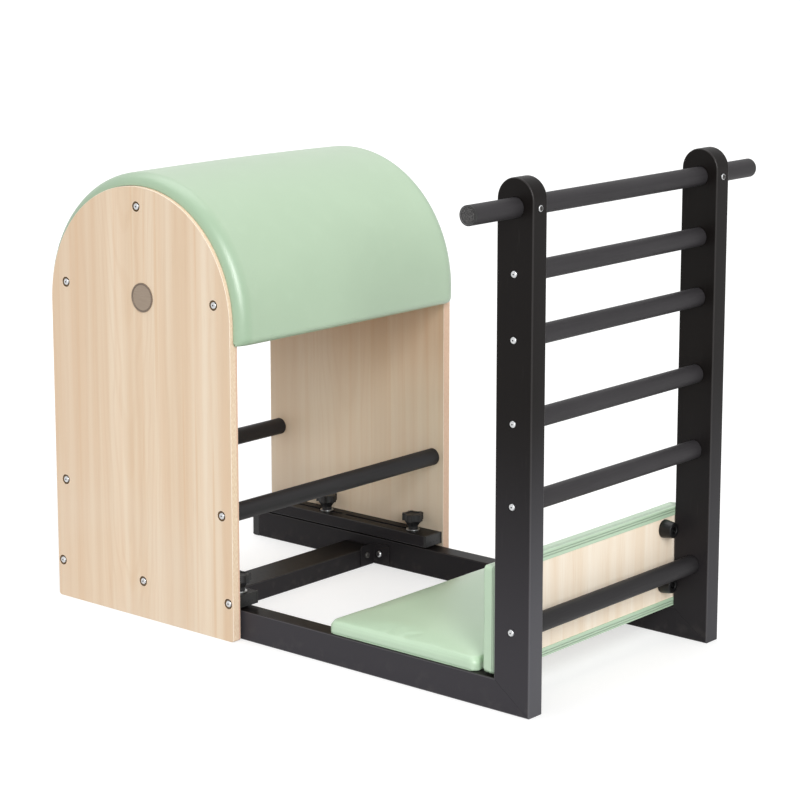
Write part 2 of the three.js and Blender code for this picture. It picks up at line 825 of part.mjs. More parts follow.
// Pads: a plywood board in a stuffed cover, which wraps its edges and is hemmed on its back

function roundedLoop(length, width, radius, z) {
  const corner_steps = 4;
  const edge_steps = 4;
  const half = [length / 2 - radius, width / 2 - radius];
  const corners = [[1, 1, 0], [-1, 1, 1], [-1, -1, 2], [1, -1, 3]];
  const loop = [];
  corners.forEach(([sx, sy, quarter], i) => {
    for (let k = 0; k <= corner_steps; k += 1) {
      const turn = (quarter + k / corner_steps) * Math.PI / 2;
      loop.push([sx * half[0] + radius * Math.cos(turn), sy * half[1] + radius * Math.sin(turn), z]);
    }
    const last = loop[loop.length - 1];
    const [nx, ny, next_quarter] = corners[(i + 1) % corners.length];
    const turn = next_quarter * Math.PI / 2;
    const next = [nx * half[0] + radius * Math.cos(turn), ny * half[1] + radius * Math.sin(turn)];
    for (let k = 1; k < edge_steps; k += 1) {
      const share = k / edge_steps;
      loop.push([last[0] + (next[0] - last[0]) * share, last[1] + (next[1] - last[1]) * share, z]);
    }
  });
  return loop;
}

const side_shares = [[0, 1], [0.25, 0.3], [0.55, 0], [0.85, 0.3], [1, 0.8]];
const crown_shares = [0.85, 0.65, 0.4, 0.15];

// Sides drawn in at the hem and under the top seam, then a rounded edge and a crowned top
function cushionBody(length, width, side_height, corner_radius) {
  const rings = side_shares.map(([height_share, inset_share]) => {
    const inset = pad_draw_in * inset_share;
    return roundedLoop(length - 2 * inset, width - 2 * inset, corner_radius, side_height * height_share);
  });
  const turn_steps = 3;
  for (let i = 1; i <= turn_steps; i += 1) {
    const turn = (i / turn_steps) * Math.PI / 2;
    const inset = pad_draw_in + pad_edge_width * (1 - Math.cos(turn));
    rings.push(roundedLoop(
      length - 2 * inset, width - 2 * inset, corner_radius, side_height + pad_edge_rise * Math.sin(turn),
    ));
  }
  const rim = rings[rings.length - 1];
  for (const share of crown_shares) {
    rings.push(rim.map(([x, y, z]) => [x * share, y * share, z + pad_crown * (1 - share ** 2)]));
  }
  return loft(rings);
}

// Local X is the pad's length, Y its width, and its back lies on Z = 0
function paddedBoard(name, length, width, side_height, corner_radius, parent, board_holes = []) {
  const wrap = pad_draw_in + cover_thickness;
  const board_half = [length / 2 - wrap - seat_gap, width / 2 - wrap - seat_gap];
  const board_corner = Math.max(corner_radius - wrap, least_board_corner);
  const board_z = [cover_thickness + seat_gap, cover_thickness + seat_gap + pad_board_thickness];
  const slab = (grow, heights) => loft(heights.map((z) => roundedLoop(
    2 * (board_half[0] + grow), 2 * (board_half[1] + grow), board_corner + grow, z,
  )));
  const pocket = slab(seat_gap, [board_z[0] - seat_gap, board_z[1] + seat_gap]);
  const window_half = [length / 2 - hem_width, width / 2 - hem_width];
  const opening = block(
    [-window_half[0], window_half[0]], [-window_half[1], window_half[1]], [-overrun, board_z[0]],
  );
  const cushion = cut(cushionBody(length, width, side_height, corner_radius), [pocket, opening]);
  const board = slab(0, board_z);
  piece(`${name}_cushion`, cushion, vinyl(), parent);
  piece(`${name}_board`, board_holes.length > 0 ? cut(board, board_holes) : board, bare_ply(), parent);
}

const back_pad = new THREE.Group();
back_pad.position.set(
  ladder_x - upright_depth - seat_gap, 0, rail_height + seat_gap + back_pad_height / 2,
);
back_pad.rotation.y = -Math.PI / 2;
model.add(back_pad);

const back_pad_width = frame_width - 2 * back_pad_inset;
const foot_places = [
  { name: 'upper', x: back_pad_height / 2 - foot_top_inset },
  { name: 'lower', x: foot_bottom_inset - back_pad_height / 2 },
].flatMap((place) => sides.map((side) => ({
  name: `${side.name}_${place.name}`, x: place.x, y: side.sign * (back_pad_width / 2 - foot_end_inset),
})));
const foot_screw_hole = boreFor(foot_screw_diameter / 2);
const foot_base = cover_thickness;
const foot_tip = foot_base - foot_height;
const foot_screw_seat = foot_tip + foot_recess_depth;
const board_face = cover_thickness + seat_gap;

paddedBoard(
  'back_pad', back_pad_height, back_pad_width, back_pad_side_height, back_pad_corner_radius, back_pad,
  foot_places.map(({ x, y }) => roundAlongZ(foot_screw_hole, 0, board_face + foot_screw_grip, x, y)),
);

// Rubber feet: tapered cones, each screwed to the back of the board through a recess in its tip
function rubberFoot() {
  const recess = foot_recess_diameter / 2;
  return turned([
    [foot_screw_hole, foot_base], [foot_screw_hole, foot_screw_seat], [recess, foot_screw_seat],
    [recess, foot_tip], [foot_tip_diameter / 2, foot_tip], [foot_base_diameter / 2, foot_base],
    [foot_screw_hole, foot_base],
  ], round_segments).rotateX(Math.PI / 2);
}

for (const place of foot_places) {
  const foot = piece(`${place.name}_foot`, rubberFoot(), rubber(), back_pad);
  foot.position.set(place.x, place.y, 0);
}

const back_pad_reach = back_pad_side_height + pad_edge_rise + pad_crown;
const floor_pad = new THREE.Group();
floor_pad.position.set(
  ladder_x - upright_depth - seat_gap - back_pad_reach - pad_play - floor_pad_length / 2,
  0,
  rail_height + seat_gap,
);
model.add(floor_pad);
paddedBoard(
  'floor_pad', floor_pad_length, frame_width - 2 * floor_pad_inset,
  floor_pad_side_height, floor_pad_corner_radius, floor_pad,
);

export default model;
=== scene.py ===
# A pilates ladder barrel: a padded barrel on two plywood panels, which slides on a black steel
# base towards a ladder of six rungs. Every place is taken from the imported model, in metres.

import math

import bmesh
import bpy
from mathutils import Matrix, Vector


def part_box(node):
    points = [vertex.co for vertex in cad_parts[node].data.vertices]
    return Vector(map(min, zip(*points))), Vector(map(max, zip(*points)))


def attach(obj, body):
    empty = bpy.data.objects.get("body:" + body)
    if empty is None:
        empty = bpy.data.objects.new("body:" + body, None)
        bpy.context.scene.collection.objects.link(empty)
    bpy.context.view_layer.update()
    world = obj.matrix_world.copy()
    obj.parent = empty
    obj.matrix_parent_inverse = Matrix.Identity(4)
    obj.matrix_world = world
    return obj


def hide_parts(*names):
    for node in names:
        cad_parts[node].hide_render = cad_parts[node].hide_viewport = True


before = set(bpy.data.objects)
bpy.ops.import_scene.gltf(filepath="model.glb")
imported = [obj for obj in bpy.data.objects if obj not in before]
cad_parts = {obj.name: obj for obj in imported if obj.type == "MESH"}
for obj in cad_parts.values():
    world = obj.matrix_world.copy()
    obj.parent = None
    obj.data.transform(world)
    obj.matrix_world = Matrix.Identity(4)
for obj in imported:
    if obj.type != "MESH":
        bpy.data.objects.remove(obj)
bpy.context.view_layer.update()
mm = 0.001


# Uprights: two lengths of rectangular steel tube, 80 by 40 mm, each closed at the top by a
# half-round crown and cut on a mitre at the foot. The weld lines are ground flush, and the whole
# frame is sprayed with satin black powder, baked until it flows to a fine orange peel.

def paint(red, green, blue):
    """A colour as it reads on a screen, 0 to 255, in the renderer's own numbers."""
    channels = (c / 255 for c in (red, green, blue))
    return (*(((c + 0.055) / 1.055) ** 2.4 if c > 0.04 else c / 12.92 for c in channels), 1.0)


def arithmetic(operation, swapped=False):
    """What a sign such as + does between values: it adds the operation's node."""
    def work(first, *second):
        values = (first, *second)
        return first.nodes.maths(operation, *(values[::-1] if swapped else values))
    return work


class Value:
    """A number or a colour that changes over a surface. Sums and products add their nodes."""

    def __init__(self, nodes, socket):
        self.nodes = nodes
        self.socket = socket

    def other(self, output):
        return Value(self.nodes, self.socket.node.outputs[output])

    __add__ = __radd__ = arithmetic("ADD")
    __mul__ = __rmul__ = arithmetic("MULTIPLY")
    __sub__ = arithmetic("SUBTRACT")
    __rsub__ = arithmetic("SUBTRACT", swapped=True)
    __truediv__ = arithmetic("DIVIDE")
    __pow__ = arithmetic("POWER")
    __abs__ = arithmetic("ABSOLUTE")


class Nodes:
    """The nodes of a finish or of the room, joined as they are added."""

    def __init__(self, tree):
        self.tree = tree

    def node(self, kind, settings=None, inputs=None, output=0):
        node = self.tree.nodes.new("ShaderNode" + kind)
        for setting, value in (settings or {}).items():
            setattr(node, setting, value)
        self.connect(node, inputs or {})
        return Value(self, node.outputs[output])

    def connect(self, node, inputs):
        for socket, value in inputs.items():
            if isinstance(value, Value):
                self.tree.links.new(value.socket, node.inputs[socket])
            else:
                node.inputs[socket].default_value = value

    def maths(self, operation, *values):
        return self.node("Math", {"operation": operation}, dict(enumerate(values)))


class Finish(Nodes):
    """The finish of a surface: a colour in two tones, tinted here and there, on one shader."""

    def __init__(self, name, gloss=0.5, metal=0.0):
        self.material = bpy.data.materials.new(name)
        self.material.use_nodes = True
        super().__init__(self.material.node_tree)
        self.shader = self.tree.nodes["Principled BSDF"]
        self.connect(self.shader, {"Specular IOR Level": gloss, "Metallic": metal})
        self.colour = self.relief = None
        self.spot = self.node("TexCoord", output="Object")
        self.x = self.node("SeparateXYZ", inputs={0: self.spot})
        self.y, self.z = self.x.other("Y"), self.x.other("Z")

    def turned(self, axis):
        """1 where the surface looks along the axis, either way, and 0 where it runs along it."""
        normal = self.node("TexCoord", output="Normal")
        return abs(self.node("SeparateXYZ", inputs={0: normal}, output=axis))

    def out_from(self, x, z):
        """The distance from a line that runs along Y."""
        across, up = self.x - x, self.z - z
        return (across * across + up * up) ** 0.5

    def between(self, value, low, high):
        """0 where the value is below low, 1 above high, and a smooth step between them."""
        limits = {"Value": value, "From Min": low, "From Max": high}
        return self.node("MapRange", {"interpolation_type": "SMOOTHSTEP"}, limits)

    def cloud(self, size, stretch=(1, 1, 1), detail=3):
        """Random soft patches about one size across, drawn out along an axis by its stretch."""
        scale = [1 / (size * share) for share in stretch]
        spot = self.node("Mapping", inputs={"Vector": self.spot, "Scale": scale})
        return self.node("TexNoise", inputs={"Vector": spot, "Scale": 1.0, "Detail": detail})

    def mix(self, share, first, second):
        """The first colour where the share is 0, the second where it is 1."""
        return self.node("Mix", {"data_type": "RGBA"}, {0: share, 6: first, 7: second}, 2)

    def tones(self, share, first, second):
        """The colour goes from the first tone to the second with the share."""
        self.colour = self.mix(share, paint(*first), paint(*second))

    def tint(self, share, red, green, blue):
        """Another tone covers the colour by the share."""
        self.colour = self.mix(share, self.colour, paint(red, green, blue))

    def lay(self, roughness):
        """The shader takes the colour, and its roughness."""
        self.connect(self.shader, {"Base Color": self.colour, "Roughness": roughness})

    def raised(self, height, distance):
        """Raises the surface by the height, 0 to 1, times a distance in metres."""
        inputs = {"Height": height, "Distance": distance, "Strength": 1.0}
        if self.relief:
            inputs["Normal"] = self.relief
        self.relief = self.node("Bump", inputs=inputs)
        self.connect(self.shader, {"Normal": self.relief})


def powder_coat(name, gloss, roughness, bright):
    """Black. Painted floor light greys its sides low down, less on the far side, and most of all on
    the uprights' faces along X.
    """
    coat = Finish(name, gloss)
    patches = coat.cloud(0.16)
    scuffs = coat.between(coat.cloud(0.012, (0.3, 0.3, 5), 4), 0.62, 0.78)
    # Painted floor light: paler low down, not on top faces, and less on the far side, which the
    # barrel shades.
    painted_floor_light = 1 - coat.between(coat.z, 0.02, 0.6)
    painted_floor_light = painted_floor_light * (1 - coat.between(coat.turned("Z"), 0.3, 0.8))
    painted_floor_light = painted_floor_light * (1 - 0.6 * coat.between(coat.y, -0.27, 0.1))
    by_the_floor = 1 - coat.between(coat.z, 0.0, 0.05)
    dust = by_the_floor * coat.between(coat.cloud(0.02, detail=4), 0.5, 0.75)
    painted_light_on_x_faces = coat.between(coat.turned("X"), 0.5, 0.9)
    on_ladder = coat.between(coat.x, 0.5, 0.6)
    coat.tones(patches, (c + bright for c in (18, 15, 14)), (c + bright for c in (26, 23, 22)))
    coat.tint(painted_floor_light, *(c + bright for c in (62, 60, 64)))
    # Painted light on the faces along X: paler low on the ladder, another tone elsewhere.
    coat.tint(on_ladder * painted_floor_light * painted_light_on_x_faces * 0.75, 92, 92, 96)
    coat.tint((1 - on_ladder) * painted_light_on_x_faces * 0.7, 34, 32, 33)
    coat.tint(scuffs * 0.1, 82, 79, 78)
    coat.tint(dust * 0.12, 120, 115, 110)
    coat.lay(roughness + 0.12 * patches + 0.15 * scuffs + 0.2 * dust)
    coat.raised(coat.cloud(0.0016, detail=1), 0.06 * mm)
    coat.raised(coat.cloud(0.035, detail=1), 0.2 * mm)
    return coat


powder = powder_coat("black_powder_coat", 0.1, 0.36, 0)
# The round edges get a paler, glossier coat: a painted highlight along the edges.
edge_highlight_powder = powder_coat("powder_with_painted_edge_highlight", 0.3, 0.26, 14)
powder_coats = (powder, edge_highlight_powder)


def settled(name):
    """Puts the new primitive's place into its mesh, and names it."""
    bpy.ops.object.transform_apply(location=True, rotation=True, scale=True)
    piece = bpy.context.object
    piece.name = piece.data.name = name
    return piece


def halfway(low, high):
    return [(a + b) / 2 for a, b in zip(low, high)]


def block(name, low, high):
    bpy.ops.object.select_all(action="DESELECT")
    size = [b - a for a, b in zip(low, high)]
    bpy.ops.mesh.primitive_cube_add(size=1, location=halfway(low, high), scale=size)
    return settled(name)


def bar(name, radius, start, end, sides):
    """A round bar from one point to another."""
    bpy.ops.object.select_all(action="DESELECT")
    start, end = Vector(start), Vector(end)
    turn = (end - start).to_track_quat("Z", "Y").to_euler()
    bpy.ops.mesh.primitive_cylinder_add(
        vertices=sides, radius=radius, depth=(end - start).length,
        location=(start + end) / 2, rotation=turn,
    )
    return settled(name)


def bar_across(name, radius, x, z, start, end, sides):
    """A round bar that runs along Y."""
    return bar(name, radius, (x, start, z), (x, end, z), sides)


def round_node(node):
    """The radius of a node that is a round bar along Y, and the X and Z of its axis."""
    low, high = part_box(node)
    radius = (high.x - low.x) / 2
    return radius, low.x + radius, low.z + radius


def take(piece):
    """The piece alone is selected, and the next operator acts on it."""
    bpy.ops.object.select_all(action="DESELECT")
    piece.select_set(True)
    bpy.context.view_layer.objects.active = piece


def edit(piece):
    take(piece)
    bpy.ops.object.mode_set(mode="EDIT")
    bpy.ops.mesh.select_all(action="SELECT")


def pick(kind, wanted):
    """Selects the points, edges or faces of the piece being edited that are wanted."""
    bpy.ops.mesh.select_mode(type=kind)
    bpy.ops.mesh.select_all(action="DESELECT")
    mesh = bmesh.from_edit_mesh(bpy.context.object.data)
    for part in {"VERT": mesh.verts, "EDGE": mesh.edges, "FACE": mesh.faces}[kind]:
        if wanted(part):
            part.select_set(True)
    bmesh.update_edit_mesh(bpy.context.object.data)


def pick_faces(*ways, sides=3):
    """Selects the faces that look one of the ways, such as "+X", and have enough sides."""
    pick("FACE", lambda face: len(face.verts) >= sides and any(
        face.normal["XYZ".index(axis)] * float(sign + "1") > 0.9 for sign, axis in ways
    ))


def middle_of(edge):
    return (edge.verts[0].co + edge.verts[1].co) / 2


def run_of(edge):
    """How far an edge runs along X, Y and Z."""
    return Vector(map(abs, edge.verts[1].co - edge.verts[0].co))


def pull(x=0, y=0, z=0):
    """Extrudes what is selected along a line."""
    bpy.ops.mesh.extrude_region_move(TRANSFORM_OT_translate={"value": (x, y, z)})


def inset(width, **line):
    """Insets the selected faces, and pulls them along a line if there is one."""
    bpy.ops.mesh.inset(thickness=width)
    if line:
        pull(**line)


def bevel(width, segments, affect="EDGES", **settings):
    bpy.ops.mesh.bevel(offset=width, segments=segments, affect=affect, **settings)


def done():
    """Closes the edit, with the faces outwards."""
    bpy.ops.mesh.select_all(action="SELECT")
    bpy.ops.mesh.normals_make_consistent(inside=False)
    bpy.ops.object.mode_set(mode="OBJECT")
    return bpy.context.object


def modify(piece, kind, settings):
    """Adds a modifier and applies it."""
    take(piece)
    modifier = piece.modifiers.new(kind.lower(), kind)
    for setting, value in settings.items():
        setattr(modifier, setting, value)
    bpy.ops.object.modifier_apply(modifier=modifier.name)
    return piece


def shaded(piece, angle=35):
    """Shades the piece smooth, but for its sharp edges, and keeps its wide faces flat."""
    take(piece)
    bpy.ops.object.shade_smooth_by_angle(angle=math.radians(angle))
    return modify(piece, "WEIGHTED_NORMAL", {"keep_sharp": True})


def give(piece, *finishes):
    for finish in finishes:
        piece.data.materials.append(finish.material)


def rounded(piece, width, segments=3, angle=35, finishes=()):
    """Rounds every sharp edge. The last of its finishes, if any, is the round edges' own."""
    give(piece, *finishes)
    modify(piece, "BEVEL", {
        "width": width, "segments": segments, "limit_method": "ANGLE",
        "material": len(finishes) - 1, "angle_limit": math.radians(angle),
        "miter_outer": "MITER_ARC",
    })
    return shaded(piece, angle)


def carve(piece, cutter):
    """Cuts the cutter's shape out of the piece."""
    modify(piece, "BOOLEAN", {"operation": "DIFFERENCE", "object": cutter, "solver": "EXACT"})
    bpy.data.objects.remove(cutter)


def another(piece, name, change):
    """Another piece of the same pattern, with its own mesh, moved or turned by the change."""
    twin = piece.copy()
    twin.data = piece.data.copy()
    twin.name = twin.data.name = name
    twin.data.transform(change)
    bpy.context.scene.collection.objects.link(twin)
    return twin


def mirrored(piece, name):
    """The piece's mirror image on the far side."""
    twin = another(piece, name, Matrix.Scale(-1, 4, (0, 1, 0)))
    edit(twin)
    return shaded(done())


def copied(first, name, home, node):
    """The first piece at its home node, and at any other node a copy of it."""
    if node == home:
        return first
    return another(first, name, Matrix.Translation(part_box(node)[0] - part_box(home)[0]))


def fitted(piece, finish, body, slot, *nodes):
    """Gives the piece its finish and body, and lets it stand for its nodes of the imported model."""
    if not piece.data.materials:
        give(piece, finish)
    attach(piece, body)
    if nodes:
        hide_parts(*nodes)
    return piece


def fit_pair(near, far, finish, body, slot, node):
    """Fits a near piece and a far one, whose nodes have the same name but for the side."""
    fitted(near, finish, body, slot, f"near_{node}")
    fitted(far, finish, body, slot, f"far_{node}")


def round_topped(name, low, high, sides):
    """A piece with a half-round top and an open foot, which is left being edited."""
    radius = (high.x - low.x) / 2
    springing = high.z - radius
    piece = bar_across(name, radius, low.x + radius, springing, low.y, high.y, sides)
    edit(piece)
    bpy.ops.mesh.bisect(plane_co=(0, 0, springing), plane_no=(0, 0, 1), clear_inner=True)
    pick("EDGE", lambda edge: edge.is_boundary)
    pull(z=low.z - springing)
    return piece


tube_round, tube_wall, rung_gap = 2.2 * mm, 3 * mm, 0.9 * mm


def mitred(node, **cut_off):
    """Cuts the tube being edited on the mitre at the ladder's foot, and rounds every sharp edge
    but those of the weld on the mitre, which is ground flush."""
    low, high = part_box("near_upright")
    slope = Vector((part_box("near_base_rail")[1].z, 0, high.x - low.x))
    foot = Vector((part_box(node)[1].x, 0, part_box(node)[0].z))
    bpy.ops.mesh.select_all(action="SELECT")
    bpy.ops.mesh.bisect(plane_co=foot, plane_no=slope, use_fill=True, **cut_off)
    tube = done()
    give(tube, *powder_coats)
    edit(tube)
    pick("EDGE", lambda edge: edge.calc_face_angle() > math.radians(35) and any(
        abs(slope.dot(vert.co - foot)) > 1e-6 for vert in edge.verts
    ))
    bevel(tube_round, 3, material=1, miter_outer="ARC")
    return shaded(done())


low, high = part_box("near_upright")
near_tube = round_topped("near_upright_tube", low, high, 72)
mitred("near_upright", clear_inner=True)
rung_names = [f"{place}_rung" for place in ("second", "third", "fourth", "fifth", "bottom")]
for rung in ("top_rung", *rung_names):
    radius, x, z = round_node(rung)
    for y in (high.y, low.y) if rung == "top_rung" else (high.y,):
        hole = (x, z, y - tube_wall, y + tube_wall, 56)
        carve(near_tube, bar_across("hole", radius + rung_gap, *hole))
shaded(near_tube)
far_tube = mirrored(near_tube, "far_upright_tube")
fit_pair(near_tube, far_tube, powder, "frame", "black_steel", "upright")


# Base rails: a steel tube of 60 by 40 mm runs along the floor on each side, welded to the foot of
# its upright on the mitre. The rear end is closed by a moulded plug with a bevelled lower edge.

edit(block("near_rail_tube", *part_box("near_base_rail")))
near_rail = mitred("near_base_rail", clear_outer=True)
far_rail = copied(near_rail, "far_rail_tube", "near_base_rail", "far_base_rail")
fit_pair(near_rail, far_rail, powder, "frame", "black_steel", "base_rail")


def two_toned(name, first, second, roughness, size, stretch=(1, 1, 1), detail=3, **settings):
    """Soft patches in two tones. The roughness is a start, and what the patches add to it."""
    finish = Finish(name, **settings)
    patches = finish.cloud(size, stretch, detail)
    finish.tones(patches, first, second)
    finish.lay(roughness[0] + roughness[1] * patches)
    return finish


def moulded_plastic(name, shade, roughness):
    moulding = two_toned(name, shade, (c + 7 for c in shade), (roughness, 0.14), 0.03)
    moulding.raised(moulding.cloud(0.0009, detail=1), 0.07 * mm)
    return moulding


plug_plastic = moulded_plastic("black_plug_plastic", (14, 14, 14), 0.4)

low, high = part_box("near_rail_plug")
rail_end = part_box("near_base_rail")[0].x
edit(block("near_rail_end_plug", low, (rail_end, high.y, high.z)))
pick("EDGE", lambda edge: run_of(edge).y > 0.01 and middle_of(edge).x < low.x + mm)
bevel(4.5 * mm, 3)
pick_faces("-X")
inset(5 * mm, x=0.8 * mm)
near_plug = rounded(done(), 1.2 * mm)
far_plug = copied(near_plug, "far_rail_end_plug", "near_rail_plug", "far_rail_plug")
fit_pair(near_plug, far_plug, plug_plastic, "frame", "black_plastic", "rail_plug")


# Cross member and brackets: a flatter steel tube ties the rails together under the barrel. At
# each end a folded steel angle is bolted to the rail and screwed to the tube's front face.

tie = block("cross_member_tube", *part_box("cross_member"))
rounded(tie, tube_round, finishes=powder_coats)
fitted(tie, powder, "frame", "black_steel", "cross_member")

low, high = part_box("near_bracket")
leg = 3 * mm
edit(block("near_angle_bracket", low, (high.x, low.y + leg, high.z)))
bpy.ops.mesh.bisect(plane_co=(low.x + leg, 0, 0), plane_no=(1, 0, 0))
pick("FACE", lambda face: face.normal.y > 0.9 and face.calc_center_median().x < low.x + leg)
pull(y=high.y - low.y - leg)
pick("EDGE", lambda edge: run_of(edge).y < mm and run_of(edge).z > 0.01 and (
    middle_of(edge).x < low.x + mm and middle_of(edge).y < low.y + mm
))
bevel(2.6 * mm, 4)
pick("EDGE", lambda edge: run_of(edge).y > run_of(edge).z and (
    middle_of(edge).x > high.x - mm
) or run_of(edge).x > 2 * mm and middle_of(edge).y > high.y - mm)
bevel(5 * mm, 4)
near_bracket = rounded(done(), 0.4 * mm, 2, finishes=powder_coats)
far_bracket = mirrored(near_bracket, "far_angle_bracket")
fit_pair(near_bracket, far_bracket, powder, "frame", "black_steel", "bracket")


# Screws: button heads with a hexagon socket, in bright zinc-plated steel. They are forged, so
# the head is a low dome on a short round edge. A pair holds the bracket on each side.

zinc = Finish("zinc_plated_steel", metal=1.0)
patches = zinc.cloud(0.004, detail=4)
scratches = zinc.between(zinc.cloud(0.0012, (1, 6, 1), 2), 0.55, 0.75)
zinc.tones(patches, (176, 178, 180), (224, 225, 226))
zinc.lay(0.24 + 0.2 * patches + 0.12 * scratches)
zinc.raised(zinc.cloud(0.0007, detail=2), 0.04 * mm)

# Inside each socket the steel is painted dark, a painted shade down in the socket. The blackened
# screws are of the same dark steel.
dark_screw_and_socket_shade = two_toned(
    "dark_screw_steel_and_socket_shade", (52, 50, 48), (96, 94, 92), (0.4, 0.3), 0.0012, metal=0.5,
)


def button_screw(name, head, height, socket, shank, length):
    """A screw at the origin whose head faces -Y. Its sizes across are diameters."""
    screw = bar_across(name, head / 2, 0, 0, 0, -height, 32)
    edit(screw)
    pick("EDGE", lambda edge: middle_of(edge).y < -0.99 * height)
    bevel(0.72 * height, 5)
    pick_faces("+Y")
    inset((head - shank) / 2, y=length)
    done()
    carve(screw, bar_across("socket", socket / 2, 0, 0, -height - mm, -0.5 * height, 6))
    shaded(screw, 30)
    give(screw, zinc, dark_screw_and_socket_shade)
    # The socket's faces take the dark steel: painted shade in the socket.
    for face in screw.data.polygons:
        if math.hypot(face.center.x, face.center.z) < socket * 0.49 and face.center.y < 0:
            face.material_index = 1
    return screw


def facing(place, turn):
    """The change that turns a screw from the origin and puts its head's back at the place."""
    return Matrix.Translation(place) @ Matrix.Rotation(math.radians(turn), 4, "Z")


def screwed(pattern, name, change, body, *nodes):
    return fitted(another(pattern, name, change), zinc, body, "zinc_steel", *nodes)


frame_screw = button_screw("frame_screw", 13 * mm, 4 * mm, 3.6 * mm, 6 * mm, 12 * mm)
bracket_z = (low.z + high.z) / 2
for side, sign, turn in (("near", 1, 180), ("far", -1, 0)):
    on_rail = facing((high.x - 27 * mm, sign * (low.y + leg), bracket_z), turn)
    screwed(frame_screw, f"{side}_bracket_bolt", on_rail @ Matrix.Scale(1.1, 4), "frame")
    on_tube = facing((low.x + leg, sign * (high.y - 18 * mm), bracket_z), 90)
    blackened = screwed(frame_screw, f"{side}_bracket_screw", on_tube, "frame")
    blackened.data.materials[0] = dark_screw_and_socket_shade.material


# Rungs: five turned wooden bars, stained and matt-lacquered near-black, each drawn up between
# the uprights by a screw at both ends. The grain runs along the bar and shows as fine streaks.

stain = Finish("black_stained_wood", gloss=0.25)
grain = stain.cloud(0.0016, (1, 60, 1))
streaks = stain.between(stain.cloud(0.004, (1, 45, 1), 2), 0.5, 0.72)
patches = stain.cloud(0.07, (1, 3, 1))
stain.tones(patches, (40, 38, 40), (54, 52, 54))
stain.tint(streaks * 0.2, 30, 29, 30)
stain.tint(stain.between(grain, 0.55, 0.75) * 0.14, 82, 79, 80)
# Painted shade: low down the rungs are darker, against the light off the floor.
stain.tint((1 - stain.between(stain.z, 0.2, 0.4)) * 0.6, 22, 21, 22)
stain.lay(0.5 + 0.2 * grain - 0.08 * patches)
stain.raised(grain, 0.08 * mm)
stain.raised(stain.cloud(0.0011, detail=1), 0.05 * mm)


def turned_bar(name, node):
    low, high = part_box(node)
    radius, x, z = round_node(node)
    edit(bar_across(name, radius, x, z, low.y, high.y, 56))
    pick_faces("+Y", "-Y")
    inset(radius * 0.72)
    return rounded(done(), 1.2 * mm)


first_rung = turned_bar("second_rung_bar", "second_rung")
for rung in rung_names:
    piece = copied(first_rung, f"{rung}_bar", "second_rung", rung)
    fitted(piece, stain, "frame", "black_wood", rung)
    for side, turn in (("near", 0), ("far", 180)):
        x, y, z = halfway(*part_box(f"{side}_{rung}_screw"))
        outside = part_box(f"{side}_upright")[side == "far"].y
        seat = facing((x, outside, z), turn)
        screwed(frame_screw, f"{side}_{rung}_button_screw", seat, "frame", f"{side}_{rung}_screw")


# Top rung: a steel tube that runs through both uprights and stands out as a handle on each side.
# A set screw in the upright's front pins it. A plug with a dished, grained face closes each end.

low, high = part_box("top_rung")
handle_radius, handle_x, handle_z = round_node("top_rung")
handle = bar_across("handle_tube", handle_radius, handle_x, handle_z, low.y, high.y, 56)
edit(handle)
pick_faces("+Y", "-Y")
inset(2.5 * mm)
for way, depth in (("+Y", -24 * mm), ("-Y", 24 * mm)):
    pick_faces(way, sides=9)
    pull(y=depth)
rounded(done(), 0.6 * mm, 2)
fitted(handle, stain, "frame", "black_steel", "top_rung")

grained = Finish("grained_plug_plastic")
radius = grained.out_from(handle_x, handle_z)
dish = 1 - grained.between(radius, handle_radius - 4.4 * mm, handle_radius - 3.8 * mm)
# A paler ring on the plug's lip is a painted highlight.
painted_lip_highlight = 1 - grained.between(abs(radius - (handle_radius - 2.4 * mm)), 0.3 * mm, 0.8 * mm)
specks = grained.between(grained.cloud(0.002, detail=2), 0.46, 0.62) * dish
grained.tones(specks, (24, 24, 24), (98, 96, 96))
grained.tint(painted_lip_highlight * 0.6, 128, 127, 127)
grained.lay(0.5 + 0.15 * specks)
grained.raised(specks, 0.25 * mm)

radius, x, z = round_node("near_handle_plug")
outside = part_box("near_handle_plug")[0].y
edit(bar_across("near_handle_end_plug", radius, x, z, outside, low.y, 56))
pick_faces("-Y")
inset(2.2 * mm, y=1.2 * mm)
inset(1.6 * mm, y=-0.5 * mm)
pick_faces("+Y")
inset(3 * mm, y=18 * mm)
near_end = rounded(done(), 0.5 * mm, 2)


def half_turn(x):
    """Half a turn about the upright line at X, halfway between the near side and the far side."""
    return Matrix.Translation((2 * x, 0, 0)) @ Matrix.Rotation(math.pi, 4, "Z")


far_end = another(near_end, "far_handle_end_plug", half_turn(handle_x))
fit_pair(near_end, far_end, grained, "frame", "black_plastic", "handle_plug")

set_screw = button_screw("set_screw", 12 * mm, 2 * mm, 6.4 * mm, 8 * mm, 12 * mm)
for side in ("near", "far"):
    low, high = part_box(f"{side}_upright")
    seat = facing((high.x, (low.y + high.y) / 2, handle_z), 90)
    screwed(set_screw, f"{side}_set_screw", seat, "frame")


# Side panels: birch plywood 20 mm thick, faced with a satin laminate and sawn to a round arch.
# Veneer tape is glued round the edge. Eight bolts through each panel sit in shallow seats.

low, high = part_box("near_side_panel")
barrel_x = (low.x + high.x) / 2
panel_arch = high.x - barrel_x
springline = high.z - panel_arch

